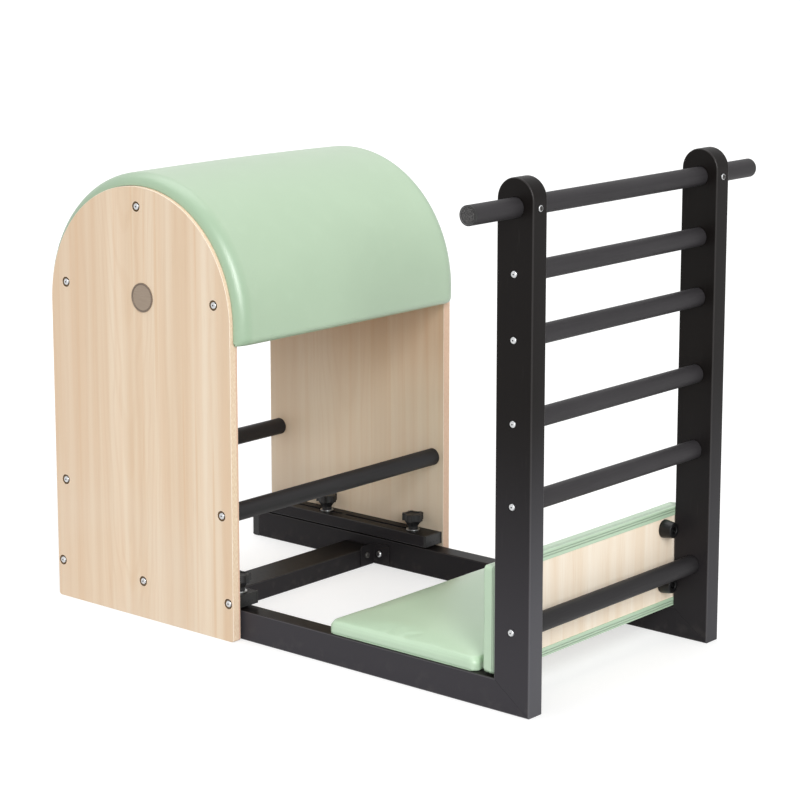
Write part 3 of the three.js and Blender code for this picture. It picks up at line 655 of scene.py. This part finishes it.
birch = Finish("birch_laminate", gloss=0.4)
strips = birch.cloud(0.075, (1, 1, 60), 2)
tones = birch.cloud(0.028, (1, 1, 60))
grain = birch.cloud(0.0022, (1, 1, 45))
warp = birch.cloud(0.22, (0.6, 1, 1.6), 2)
wide = birch.cloud(0.35, detail=1)
column = abs(birch.x - barrel_x + 0.03) / 0.105
rings = birch.maths("SINE", (column * column * 6 - birch.z * 3.6 + warp * 4) * 7)
arches = birch.between(rings, 0.1, 1.0) * (1 - birch.between(column, 0.5, 1.25))
lines = birch.maths("SINE", (birch.x * 95 + warp * 5) * 2.2)
fine = birch.between(birch.cloud(0.01, (1, 1, 90), 2), 0.56, 0.68)
birch.tones(birch.between(strips, 0.32, 0.68), (228, 202, 172), (242, 223, 198))
birch.tint(birch.between(tones, 0.45, 0.75) * 0.4, 246, 230, 208)
birch.tint(birch.between(tones, 0.58, 0.35) * 0.3, 228, 194, 160)
birch.tint(birch.between(lines, 0.3, 1.0) * 0.1, 212, 176, 140)
birch.tint(arches * 0.16, 216, 182, 146)
birch.tint(birch.between(grain, 0.56, 0.75) * 0.16, 202, 166, 130)
birch.tint(fine * 0.4, 224, 188, 148)

# The far panel's inner face is painted browner above, a painted shade under the barrel, and paler
# below, a painted light. Both are darker to the rear, and paler by the floor in wide patches.
far_sheet = birch.between(birch.y, 0.3, 0.31)
upper = birch.between(birch.z, 0.3, 0.55)
by_the_floor = (1 - birch.between(birch.z, 0.05, 0.32)) * birch.between(wide, 0.35, 0.6)
birch.tint(far_sheet * upper * 0.35, 214, 168, 128)
birch.tint(far_sheet * (1 - upper) * 0.45, 255, 238, 212)
birch.tint((1 - birch.between(birch.x, low.x, barrel_x)) * 0.35, 216, 188, 160)
birch.tint(by_the_floor * 0.4, 236, 222, 203)

# The tape round the edge is darker along the panel's inner face, and shows its glue line.
depth = birch.maths("PINGPONG", abs(birch.y) + low.y + 20 * mm, 10 * mm)
layers = birch.between(depth, 0.0, 0.6 * mm)
edge_grain = birch.between(birch.cloud(0.0009, (8, 1, 8)), 0.4, 0.65)
tape = birch.mix(edge_grain, paint(228, 200, 170), paint(244, 224, 198))
inner_layers = 1 - birch.between(abs(birch.y), 2.5 * mm - high.y, 6.5 * mm - high.y)
inner_layers = birch.maths("MAXIMUM", inner_layers, far_sheet * 0.8)
tape = birch.mix(inner_layers * 0.6, tape, paint(216, 168, 146))
sideways = birch.turned("Y")
face = birch.between(sideways, 0.75, 0.95)
# The rim, where the face turns to the tape, is painted paler: a painted highlight on the corner.
rim = birch.between(sideways, 0.15, 0.4) * (1 - face)
birch.colour = birch.mix(face, tape, birch.colour)
birch.tint(rim * 0.6 * layers, 244, 226, 196)
birch.lay(0.42 + 0.12 * strips + 0.1 * grain - 0.04 * face)
birch.raised(birch.between(grain, 0.5, 0.8) * -1, 0.08 * mm)
birch.raised(wide, 0.4 * mm)

# The bolt seats are painted dark brown, a painted shade down in the seats. The panel's corner is
# painted a clean pale line, a painted highlight.
painted_seat_shade = two_toned(
    "bolt_seat_painted_shade", (92, 74, 52), (138, 112, 82), (0.7, 0.2), 0.003, gloss=0.2,
)
painted_corner_highlight = two_toned(
    "panel_corner_painted_highlight", (246, 230, 208), (255, 246, 232), (0.3, 0.2), 0.0012, (4, 1, 4),
)

slide_bolt_x, slide_bolt_z = 241.5 * mm, 77.1 * mm
crossbar_bolt_x, crossbar_bolt_z = 226 * mm, 253 * mm
arch_bolt_radius, shoulder = 215 * mm, math.radians(11)
shoulder_x = arch_bolt_radius * math.cos(shoulder)
shoulder_z = springline + arch_bolt_radius * math.sin(shoulder)
bolt_places = {
    "rear_slide": (-slide_bolt_x, slide_bolt_z), "middle_slide": (0, slide_bolt_z),
    "front_slide": (slide_bolt_x, slide_bolt_z),
    "rear_crossbar": (-crossbar_bolt_x, crossbar_bolt_z),
    "front_crossbar": (crossbar_bolt_x, crossbar_bolt_z),
    "crown": (0, springline + arch_bolt_radius),
    "rear_shoulder": (-shoulder_x, shoulder_z), "front_shoulder": (shoulder_x, shoulder_z),
}
seat_depth, seat_radius = 3 * mm, 10.2 * mm

near_panel = round_topped("near_panel_board", low, high, 128)
bpy.ops.mesh.edge_face_add()
pick("EDGE", lambda edge: run_of(edge).y > 0.01 and middle_of(edge).z < low.z + mm)
bevel(6 * mm, 5)
done()
for x, z in bolt_places.values():
    seat = (barrel_x + x, z, low.y - mm, low.y + seat_depth, 32)
    carve(near_panel, bar_across("seat", seat_radius, *seat))
rounded(near_panel, 1.3 * mm, finishes=(birch, painted_seat_shade, painted_corner_highlight))
for face in near_panel.data.polygons:
    for x, z in bolt_places.values():
        off_centre = math.hypot(face.center.x - barrel_x - x, face.center.z - z)
        if off_centre < 12 * mm and low.y + 0.2 * mm < face.center.y < low.y + 4 * mm:
            face.material_index = int(off_centre < seat_radius + 0.2 * mm)
far_panel = another(near_panel, "far_panel_board", half_turn(barrel_x))
fit_pair(near_panel, far_panel, birch, "barrel", "birch_ply", "side_panel")

panel_bolt = button_screw("panel_bolt", 14 * mm, 3.8 * mm, 3.8 * mm, 8 * mm, 13 * mm)
for side, sign, turn in (("near", 1, 0), ("far", -1, 180)):
    for place, (x, z) in bolt_places.items():
        seat = facing((barrel_x + x, sign * (low.y + seat_depth), z), turn)
        screwed(panel_bolt, f"{side}_{place}_bolt", seat, "barrel")


# Badge seat: a plain pressed disc, 59 mm across, is glued to the near panel below its crown. It
# is bare brushed metal with a bronze lacquer and a rolled rim.

badge_x, badge_z, badge_radius, rim = -327.5 * mm, 664 * mm, 29.5 * mm, 26.2 * mm
bronze = Finish("bronze_lacquer", metal=0.6)
radius = bronze.out_from(badge_x, badge_z)
brushed = bronze.cloud(0.0008, (30, 1, 1))
bronze.tones(brushed, (138, 122, 106), (172, 156, 140))
bronze.tint(bronze.between(radius, rim, rim + mm) * 0.6, 104, 90, 78)
groove = 1 - bronze.between(abs(radius - rim), 0.2 * mm, 0.8 * mm)
bronze.tint(groove * 0.7, 64, 54, 46)
bronze.lay(0.38 + 0.2 * brushed)
bronze.raised(brushed, 0.05 * mm)

disc = bar_across("bare_disc", badge_radius, badge_x, badge_z, low.y, low.y - 2 * mm, 72)
edit(disc)
pick_faces("-Y")
inset(2.6 * mm, y=0.7 * mm)
rounded(done(), 0.5 * mm)
fitted(disc, bronze, "barrel", "zinc_steel")


# Shell and battens: a bent sheet of thin poplar ply, 8 mm thick, is laid over three battens
# that run from panel to panel. Both are left bare, and show only from below the barrel.

def bare_ply(name, gloss, grain, bands, tones, lines, roughness, relief):
    """Grain and bands are a size and a stretch each, and the lines a share and a tone."""
    ply = Finish(name, gloss)
    fibres = ply.cloud(*grain)
    ply.tones(ply.between(ply.cloud(*bands, 2), 0.3, 0.7), *tones)
    ply.tint(ply.between(fibres, 0.52, 0.75) * lines[0], *lines[1])
    ply.lay(roughness + 0.15 * fibres)
    ply.raised(fibres, relief)
    return ply


def refinished(finish, *nodes):
    """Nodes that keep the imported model's shape get a finish of their own."""
    for node in nodes:
        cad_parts[node].material_slots[0].material = finish.material


poplar = bare_ply(
    "bare_poplar_ply", 0.3, (0.0018, (1, 50, 50)), (0.03, (1, 12, 12)),
    ((236, 214, 184), (246, 232, 212)), (0.4, (212, 182, 146)), 0.6, 0.12 * mm,
)


def arch_strip(name, inner, outer, half_width):
    """The section at the springline, which is left being edited, to be swept over the barrel."""
    low = (barrel_x + inner, -half_width, springline - mm)
    edit(block(name, low, (barrel_x + outer, half_width, springline)))
    pick("VERT", lambda vert: vert.co.z < springline - 0.5 * mm)
    bpy.ops.mesh.delete(type="VERT")


def sweep_arch(inner, drops):
    """Sweeps the section over the arch, and draws each end down in steps.

    A step is a height, and the share of the thickness that is left below it."""
    centre = (barrel_x, 0, springline)
    bpy.ops.mesh.spin(steps=96, angle=math.pi, center=centre, axis=(0, 1, 0))
    for sign in (1, -1):
        pick("EDGE", lambda edge: edge.is_boundary and (
            (middle_of(edge).x - barrel_x) * sign > 0
        ))
        for drop, share in drops:
            pull(z=-drop)
            anchor = (barrel_x + sign * inner, 0, 0)
            bpy.ops.transform.resize(value=(share, 1, 1), center_override=anchor)
        bpy.ops.mesh.edge_face_add()


low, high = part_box("barrel_shell")
shell_outer = high.x - barrel_x
shell_inner = shell_outer - 8 * mm
arch_strip("bent_shell", shell_inner, shell_outer, high.y)
bpy.ops.mesh.select_all(action="SELECT")
bpy.ops.mesh.delete(type="ONLY_FACE")
bpy.ops.mesh.select_all(action="SELECT")
sweep_arch(shell_inner, [(springline - low.z, 1)])
fitted(rounded(done(), 0.6 * mm, 2), poplar, "barrel", "pale_ply", "barrel_shell")
refinished(poplar, "front_batten", "top_batten", "rear_batten")


# Barrel padding: firm foam 40 mm thick, covered with one sheet of sage-green vinyl that is pulled
# tight and stapled underneath. It crowns a little, and its edges roll out over the panels' edges.

def sage_vinyl(name, shade, seams=None, tone=0.45, depth=1.2 * mm, painted_roll_shade_from=None):
    """The seams are given as a function of the finish: 1 on the line of a seam, 0 away from it.

    Further out than painted_roll_shade_from the vinyl is darker: painted shade on the roll over an
    edge."""
    vinyl = Finish(name, gloss=0.9)
    patches = vinyl.cloud(0.12, detail=2)
    wear = vinyl.cloud(0.03, detail=4)
    cells = {"Vector": vinyl.spot, "Scale": 760.0}
    cells = vinyl.node("TexVoronoi", {"feature": "DISTANCE_TO_EDGE"}, cells)
    pores = 1 - vinyl.between(cells, 0.0, 0.22)
    vinyl.tones(vinyl.between(patches, 0.3, 0.7), shade, (c + 2 for c in shade))
    if painted_roll_shade_from:
        # Painted shade: the vinyl is darker on the roll over the edge.
        pulled = vinyl.between(abs(vinyl.y), painted_roll_shade_from, painted_roll_shade_from + 24 * mm)
        vinyl.tint(pulled * 0.7, 148, 176, 146)
    vinyl.tint(pores * 0.12, 150, 178, 148)
    vinyl.tint(vinyl.between(wear, 0.55, 0.8) * 0.05, 206, 226, 203)
    if seams:
        line = seams(vinyl)
        vinyl.tint(line * tone, 118, 140, 116)
        vinyl.raised(1 - line, depth)
    vinyl.lay(0.29 + 0.015 * wear + 0.04 * pores)
    vinyl.raised(1 - pores, 0.04 * mm)
    vinyl.raised(vinyl.cloud(0.006, detail=2), 0.02 * mm)
    return vinyl


low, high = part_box("barrel_padding")
foam, proud, edge_round, foot_round = 40 * mm, 28 * mm, 24 * mm, 17 * mm
padding_outer = high.x - barrel_x
padding_inner = padding_outer - foam
half_width = high.y
arch_strip("padding_cover", padding_inner, padding_outer, half_width)
pick("VERT", lambda vert: vert.co.x > barrel_x + padding_outer - mm)
bevel(edge_round, 8, "VERTICES")
bpy.ops.mesh.select_all(action="SELECT")
bpy.ops.mesh.delete(type="ONLY_FACE")
pick("EDGE", lambda edge: run_of(edge).y > 0.3)
bpy.ops.mesh.subdivide(number_cuts=27)
pick("EDGE", lambda edge: run_of(edge).x > 15 * mm)
bpy.ops.mesh.subdivide(number_cuts=15)
bpy.ops.object.mode_set(mode="OBJECT")
for vert in bpy.context.object.data.vertices:
    rise = vert.co.x - barrel_x - panel_arch
    if rise > 0.5 * mm and abs(vert.co.y) > half_width - edge_round - 0.5 * mm:
        roll = 30 * mm * max(1 - (rise / proud) ** 2, 0) ** 0.5
        vert.co.y = math.copysign(half_width - 18 * mm + roll, vert.co.y)
bpy.ops.object.mode_set(mode="EDIT")
bpy.ops.mesh.select_all(action="SELECT")
drops, last_share, last_depth = [(springline - low.z - foot_round, 1)], 1, 0
for step in range(1, 7):
    turn = math.radians(15 * step)
    share = 1 - foot_round / foam * (1 - math.cos(turn))
    depth = foot_round * math.sin(turn)
    drops.append((depth - last_depth, share / last_share))
    last_share, last_depth = share, depth
sweep_arch(padding_inner, drops)
padding = done()
for vert in padding.data.vertices:
    out = Vector((vert.co.x - barrel_x, 0, max(vert.co.z - springline, 0)))
    rise = max(out.length - panel_arch, 0)
    outward = min(abs(vert.co.y) / half_width, 1)
    crown = 3 * mm * outward ** 2
    vert.co -= out.normalized() * rise / proud * crown
    if rise < 0.7 * mm:
        vert.co.y = math.copysign(min(abs(vert.co.y), half_width), vert.co.y)
shaded(padding, 50)
# The barrel's vinyl takes a darker tone than the pads': painted shade, against the brighter light on
# the barrel.
barrel_vinyl = sage_vinyl(
    "sage_vinyl_barrel", (173, 196, 168), painted_roll_shade_from=half_width - edge_round,
)
fitted(padding, barrel_vinyl, "barrel", "sage_vinyl", "barrel_padding")


# Crossbars: two more stained bars tie the panels together low down, front and rear, held by the
# panel bolts that run into their ends.

front_bar = turned_bar("front_crossbar_bar", "front_crossbar")
rear_bar = copied(front_bar, "rear_crossbar_bar", "front_crossbar", "rear_crossbar")
fitted(front_bar, stain, "barrel", "black_wood", "front_crossbar")
fitted(rear_bar, stain, "barrel", "black_wood", "rear_crossbar")


# Slide bars: a flat steel tube inside each panel lies over the rail. Two slots run through it
# for the clamps, a black glide strip under it bears on the rail, and moulded plugs close it.

slot_half, slot_length, rear_slot_end = 4.5 * mm, 200.5 * mm, -354.5 * mm
for side, front_slot_end in (("near", -109.5 * mm), ("far", -144 * mm)):
    low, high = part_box(f"{side}_slide_bar")
    tube = block(f"{side}_slide_tube", low, high)
    rounded(tube, 1.6 * mm, finishes=powder_coats)
    middle = (low.y + high.y) / 2
    for end in (front_slot_end, rear_slot_end):
        start = (end - slot_length, middle - slot_half, low.z - mm)
        edit(block("slot", start, (end, middle + slot_half, high.z + mm)))
        pick("EDGE", lambda edge: run_of(edge).z > 0.01)
        bevel(slot_half * 0.98, 8)
        carve(tube, done())
    fitted(shaded(tube), powder, "barrel", "black_steel", f"{side}_slide_bar")
refinished(plug_plastic, "near_glide_strip", "far_glide_strip")

# Each plug is a flat cap with a sunk panel and three small ejector marks.
low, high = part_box("near_front_slide_plug")
tube_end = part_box("near_slide_bar")[1].x
cap = block("near_front_slide_cap", (tube_end, low.y, low.z), high)
edit(cap)
pick_faces("+X")
inset(2.4 * mm, x=-0.8 * mm)
rounded(done(), 0.9 * mm)
z = low.z + (high.z - low.z) * 0.35
for share in (0.3, 0.5, 0.7):
    y = low.y + (high.y - low.y) * share
    carve(cap, bar("mark", 1.3 * mm, (high.x - 1.5 * mm, y, z), (high.x + mm, y, z), 16))
caps = {"near_front": shaded(cap)}
caps["far_front"] = copied(
    cap, "far_front_slide_cap", "near_front_slide_plug", "far_front_slide_plug",
)
for side, other in (("near", "far"), ("far", "near")):
    front = caps[f"{other}_front"]
    caps[f"{side}_rear"] = another(front, f"{side}_rear_slide_cap", half_turn(barrel_x))
for place, cap in caps.items():
    fitted(cap, plug_plastic, "barrel", "black_plastic", f"{place}_slide_plug")


# Clamp knobs: star knobs of black glass-filled nylon with five lobes, moulded on a zinc stud that
# goes down through the slot into the rail. Each bears on a plain washer.

knob_plastic = moulded_plastic("black_knob_nylon", (23, 23, 24), 0.42)
low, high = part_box("near_front_knob")
washer_low, washer_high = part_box("near_front_washer")
x, y, z = halfway(washer_low, washer_high)
axis = Vector((x, y, 0))


def bar_up(name, radius, place, bottom, top, sides):
    """A round bar that stands upright."""
    return bar(name, radius, (place.x, place.y, bottom), (place.x, place.y, top), sides)


head_radius, head_bottom = 23.5 * mm, high.z - 15 * mm
knob = bar_up("near_front_star_knob", head_radius, axis, head_bottom, high.z, 80)
for lobe in range(5):
    turn = math.radians(72 * lobe + 36)
    valley = axis + Vector((math.cos(turn), math.sin(turn), 0)) * (head_radius + 8 * mm)
    carve(knob, bar_up("finger", 13.5 * mm, valley, 0, 2 * high.z, 40))
edit(knob)
pick_faces("+Z")
inset(5.5 * mm, z=-1.6 * mm)
rounded(done(), 1.6 * mm, 4, 40)

hub_base = washer_high.z + 0.3 * mm
hub = bar_up("hub", 10.5 * mm, axis, hub_base, head_bottom, 40)
edit(hub)
bpy.ops.mesh.bisect(plane_co=(0, 0, hub_base + 6.5 * mm), plane_no=(0, 0, 1))
pick_faces("+Z")
bpy.ops.transform.resize(value=(1.85, 1.85, 1), center_override=(axis.x, axis.y, head_bottom))


def rib(face):
    """Every other strip of the hub's side is sunk, which leaves ribs."""
    spoke = face.calc_center_median() - axis
    strip = int((math.degrees(math.atan2(spoke.y, spoke.x)) + 360) / 9)
    return abs(face.normal.z) < 0.9 and strip % 2


pick("FACE", rib)
bpy.ops.mesh.inset(thickness=0.15 * mm, depth=-0.6 * mm, use_individual=False)
rounded(done(), 0.3 * mm, 2)
stud = bar_up("stud", 4 * mm, axis, low.z, hub_base + mm, 24)
rounded(stud, 0.7 * mm, 2)
take(knob)
for part, finish in ((knob, knob_plastic), (hub, knob_plastic), (stud, zinc)):
    give(part, finish)
    part.select_set(True)
bpy.ops.object.join()

radius = (washer_high.x - washer_low.x) / 2
edit(bar_up("near_front_plain_washer", radius, axis, washer_low.z, washer_high.z, 48))
pick_faces("+Z", "-Z")
inset(radius - 4.4 * mm)
pick_faces("+Z", "-Z", sides=9)
bpy.ops.mesh.bridge_edge_loops()
washer = rounded(done(), 0.4 * mm, 2)

home = "near_front_washer"
for place in ("near_front", "near_rear", "far_front", "far_rear"):
    star = copied(knob, f"{place}_star_knob", home, f"{place}_washer")
    ring = copied(washer, f"{place}_plain_washer", home, f"{place}_washer")
    fitted(star, knob_plastic, f"{place}_clamp", "black_plastic", f"{place}_knob")
    fitted(ring, zinc, f"{place}_clamp", "zinc_steel", f"{place}_washer")


# Floor pad: a board in a stuffed vinyl cover lies on the two rails in front of the ladder. The
# cover swells over the foam, and is hemmed under the board all round.

def stuffed_cover(name, low, high, corner, round_edge, swell, flat, board):
    """A rounded cover blown up over its foam by cloth simulation, and drawn round its board.

    Flat is the cover's flat side: an axis, a place on it, and 1 or -1 for the way to the foam."""
    edit(block(name, low, high))
    axis, plane, keep_above = flat
    pick("EDGE", lambda edge: run_of(edge)[axis] > 5 * mm)
    bevel(corner, 5)
    pick("EDGE", lambda edge: run_of(edge)[axis] < 0.1 * mm and (
        (middle_of(edge)[axis] - plane) * keep_above > 5 * mm
    ))
    bevel(round_edge, 5)
    cover = done()
    modify(cover, "REMESH", {"mode": "VOXEL", "voxel_size": 5 * mm, "use_smooth_shade": True})
    rest = [vert.co.copy() for vert in cover.data.vertices]
    scene = bpy.context.scene
    cloth = cover.modifiers.new("cloth", "CLOTH")
    cloth.settings.use_pressure = True
    cloth.settings.uniform_pressure_force = 4
    cloth.settings.effector_weights.gravity = 0
    cloth.settings.tension_stiffness = 30
    cloth.settings.compression_stiffness = 30
    cloth.settings.bending_stiffness = 1.5
    for number in range(1, 21):
        scene.frame_set(number)
    take(cover)
    bpy.ops.object.modifier_apply(modifier=cloth.name)
    scene.frame_set(1)

    # Near the board the cover goes back to its rest, clear of the board's rounded corners, and
    # runs on into the hem. Elsewhere it keeps its swelling, as far as that is allowed.
    ways = [way for way in range(3) if way != axis]
    middle = halfway(*board)
    half = [(b - a) / 2 for a, b in zip(*board)]
    board_corner, clearance, least = corner - 3 * mm, 1.9 * mm, 0.1 * mm
    sway, near_plane, hem_depth = 0.4 * swell, 3 * mm, 2.9 * mm
    rise = max(abs(vert.co[axis] - start[axis]) for vert, start in zip(cover.data.vertices, rest))
    for vert, start in zip(cover.data.vertices, rest):
        move = (vert.co - start) * min(swell / max(rise, swell), 1)
        for way in ways:
            move[way] = max(-sway, min(sway, move[way]))
        height = (start[axis] - plane) * keep_above
        past = [abs(start[way] - middle[way]) - half[way] + board_corner for way in ways]
        outside = math.hypot(*(max(far, 0) for far in past)) + min(max(past), 0) - board_corner
        if height < 2 * half[axis] + 4 * mm and outside > -4 * mm:
            vert.co = start
            past = [max(far, least) if far == max(past) else far for far in past]
            reach = math.hypot(*(max(far, 0) for far in past))
            grow = max(1, (board_corner + clearance) / reach)
            for way, far in zip(ways, past):
                if far > 0:
                    side = half[way] - board_corner + far * grow
                    vert.co[way] = middle[way] + math.copysign(side, start[way] - middle[way])
            if height < near_plane:
                vert.co[axis] = plane - hem_depth * keep_above
        else:
            vert.co = start + move
            if height < near_plane:
                vert.co[axis] = plane
    modify(cover, "SUBSURF", {"levels": 1, "render_levels": 1})
    bpy.ops.object.shade_smooth()
    return cover


def hem_frame(name, low, high, axis, corner, width):
    """The turned-in edge of the cover, stapled round the back of the board."""
    edit(block(name, low, high))
    pick("EDGE", lambda edge: run_of(edge)[axis] > 0.5 * mm and all(
        run_of(edge)[other] < 0.5 * mm for other in range(3) if other != axis
    ))
    bevel(corner, 5)
    ends = ("+" + "XYZ"[axis], "-" + "XYZ"[axis])
    pick_faces(*ends)
    inset(width)
    pick_faces(*ends, sides=9)
    bpy.ops.mesh.bridge_edge_loops()
    return rounded(done(), 0.7 * mm)


low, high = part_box("floor_pad_cushion")
board = board_low, board_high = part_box("floor_pad_board")
plane = board_low.z + 1.2 * mm
floor_cover = stuffed_cover(
    "floor_pad_cover", (low.x + 3 * mm, low.y + 3 * mm, plane),
    (high.x - 3 * mm, high.y - 3 * mm, high.z - 12 * mm), 15 * mm, 6 * mm, 11 * mm,
    (2, plane, 1), board,
)
floor_hem = hem_frame(
    "floor_pad_hem", (low.x + 3.2 * mm, low.y + 3.2 * mm, low.z),
    (high.x - 3.2 * mm, high.y - 3.2 * mm, low.z + 2.2 * mm), 2, 14 * mm, 16 * mm,
)


def floor_seams(vinyl):
    """A fold runs round the side, a little above the hem."""
    return 1 - vinyl.between(abs(vinyl.z - (board_high.z + 5 * mm)), 0.4 * mm, 2.2 * mm)


# The floor pad, back pad and hem take paler tones than the barrel's vinyl: painted light on pads
# that sit lower, in more shade.
floor_vinyl = sage_vinyl("sage_vinyl_floor_pad", (190, 216, 187), floor_seams, 0.08, 0.1 * mm)
fitted(floor_cover, floor_vinyl, "floor_pad", "sage_vinyl", "floor_pad_cushion")
fitted(floor_hem, floor_vinyl, "floor_pad", "sage_vinyl")
refinished(poplar, "floor_pad_board")


# Back pad: the same make of pad stands on its edge against the uprights. Its back shows the bare
# board inside a hem, and four tapered rubber feet screwed to the board keep it off a wall.

low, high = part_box("back_pad_cushion")
board = board_low, board_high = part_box("back_pad_board")
plane = board_high.x - 1.2 * mm
back_cover = stuffed_cover(
    "back_pad_cover", (low.x + 2.5 * mm, low.y + 2.5 * mm, low.z + 2 * mm),
    (plane, high.y - 2.5 * mm, high.z - 2 * mm), 5 * mm, 3 * mm, 2.5 * mm,
    (0, plane, -1), board,
)
back_hem = hem_frame(
    "back_pad_hem", (high.x - 2.2 * mm, low.y + 2.6 * mm, low.z + 2.6 * mm),
    (high.x, high.y - 2.6 * mm, high.z - 2.6 * mm), 0, 4 * mm, 17 * mm,
)


def back_seams(vinyl):
    """The cover's edge is turned over on the pad's ends, and shows as two lines near the back."""
    lap = abs(abs(vinyl.x - (high.x - 8 * mm)) - 1.9 * mm)
    return 1 - vinyl.between(lap, 0.2 * mm, 1.1 * mm)


def hem_fold(vinyl):
    """The hem is folded double, and the fold and its stitches show as two lines along it."""
    from_ends = vinyl.maths("MINIMUM", high.z - vinyl.z, vinyl.z - low.z)
    from_edge = vinyl.maths("MINIMUM", high.y - abs(vinyl.y), from_ends)
    return 1 - vinyl.between(abs(abs(from_edge - 9.5 * mm) - 2.5 * mm), 0.3 * mm, 1.2 * mm)


back_vinyl = sage_vinyl("sage_vinyl_back_pad", (188, 214, 185), back_seams)
hem_vinyl = sage_vinyl("sage_vinyl_back_hem", (186, 212, 183), hem_fold)
fitted(back_cover, back_vinyl, "frame", "sage_vinyl", "back_pad_cushion")
fitted(back_hem, hem_vinyl, "frame", "sage_vinyl")
refinished(bare_ply(
    "birch_back_board", 0.35, (0.0022, (1, 1, 40)), (0.03, (1, 1, 20)),
    ((242, 224, 200), (250, 238, 220)), (0.3, (226, 200, 170)), 0.5, 0.1 * mm,
), "back_pad_board")

rubber = two_toned(
    "black_rubber", (8, 8, 9), (16, 16, 17), (0.24, 0.22), 0.012, detail=4, gloss=0.35,
)
rubber.raised(rubber.cloud(0.0012, detail=2), 0.08 * mm)

low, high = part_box("near_upper_foot")
x, y, z = halfway(low, high)
edit(bar("near_upper_rubber_foot", 18.5 * mm, (board_high.x, y, z), (high.x, y, z), 48))
bpy.ops.mesh.bisect(plane_co=(board_high.x + 4 * mm, 0, 0), plane_no=(1, 0, 0))
pick("VERT", lambda vert: vert.co.x > high.x - mm)
bpy.ops.transform.resize(value=(1, 0.82, 0.82), center_override=(high.x, y, z))
pick_faces("+X")
screw_recess = 12 * mm
inset(8 * mm, x=-screw_recess)
first_foot = rounded(done(), 1.2 * mm, 4)
foot_screw = button_screw("foot_screw", 8 * mm, 2.6 * mm, 3 * mm, 4 * mm, 14 * mm)
for place in ("near_upper", "near_lower", "far_upper", "far_lower"):
    node = f"{place}_foot"
    foot = copied(first_foot, f"{place}_rubber_foot", "near_upper_foot", node)
    fitted(foot, rubber, "frame", "black_rubber", node)
    x, y, z = halfway(*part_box(node))
    seat = facing((high.x - screw_recess, y, z), 90)
    screwed(foot_screw, f"{place}_foot_screw", seat, "frame")

for pattern in (frame_screw, set_screw, panel_bolt, foot_screw):
    bpy.data.objects.remove(pattern)


# Studio: a wide white floor that keeps the shadow, a broad lamp overhead, a narrower one on the
# right, a small one for the bright line on the padding's edge, and an even white room. The camera
# has a long lens and stands a little above the barrel.

def seen(nodes):
    """1 for rays from the camera, from a glossy surface or through glass, and 0 for the rest."""
    rays = nodes.node("LightPath")
    straight = nodes.maths("MAXIMUM", rays, rays.other("Is Glossy Ray"))
    return nodes.maths("MAXIMUM", straight, rays.other("Is Transmission Ray"))


white = Finish("white_floor", gloss=0.1)
white.connect(white.shader, {
    "Base Color": (0.55, 0.55, 0.55, 1), "Roughness": 0.9,
    "Emission Color": (1, 1, 1, 1), "Emission Strength": 0.58 * seen(white),
})
bpy.ops.object.select_all(action="DESELECT")
bpy.ops.mesh.primitive_plane_add(size=40, location=(0, 0, -0.4 * mm))
floor = bpy.context.object
floor.name = "studio_floor"
give(floor, white)

world = bpy.data.worlds.new("white_room")
bpy.context.scene.world = world
world.use_nodes = True
room = Nodes(world.node_tree)
strength = {"Value": seen(room), "To Min": 0.55, "To Max": 1.0}
room.connect(room.tree.nodes["Background"], {
    "Color": (1, 1, 1, 1), "Strength": room.node("MapRange", inputs=strength),
})

for name, direction, energy, spread in (
    ("overhead_lamp", (-0.35, 0.1, 1), 0.9, 50), ("side_lamp", (0.82, -0.52, 0.32), 1.25, 20),
    ("edge_lamp", (0.64, -0.46, 0.54), 1.0, 20),
):
    bpy.ops.object.select_all(action="DESELECT")
    bpy.ops.object.light_add(type="SUN", location=Vector(direction) * 4)
    lamp = bpy.context.object
    lamp.name = name
    lamp.data.energy = energy
    lamp.data.angle = math.radians(spread)
    lamp.rotation_euler = Vector(direction).to_track_quat("Z", "Y").to_euler()

camera = bpy.data.cameras.new("studio_camera")
camera.lens = 110.4
camera.sensor_width = 36
camera.shift_y = -0.1
camera.clip_end = 100
stand = bpy.data.objects.new("studio_camera", camera)
bpy.context.scene.collection.objects.link(stand)
stand.location = (3.1753, -3.6502, 1.5136)
stand.rotation_euler = (math.radians(90 - 10.568), 0, math.radians(40.485))
bpy.context.scene.camera = stand
bpy.context.scene.view_settings.view_transform = "Standard"
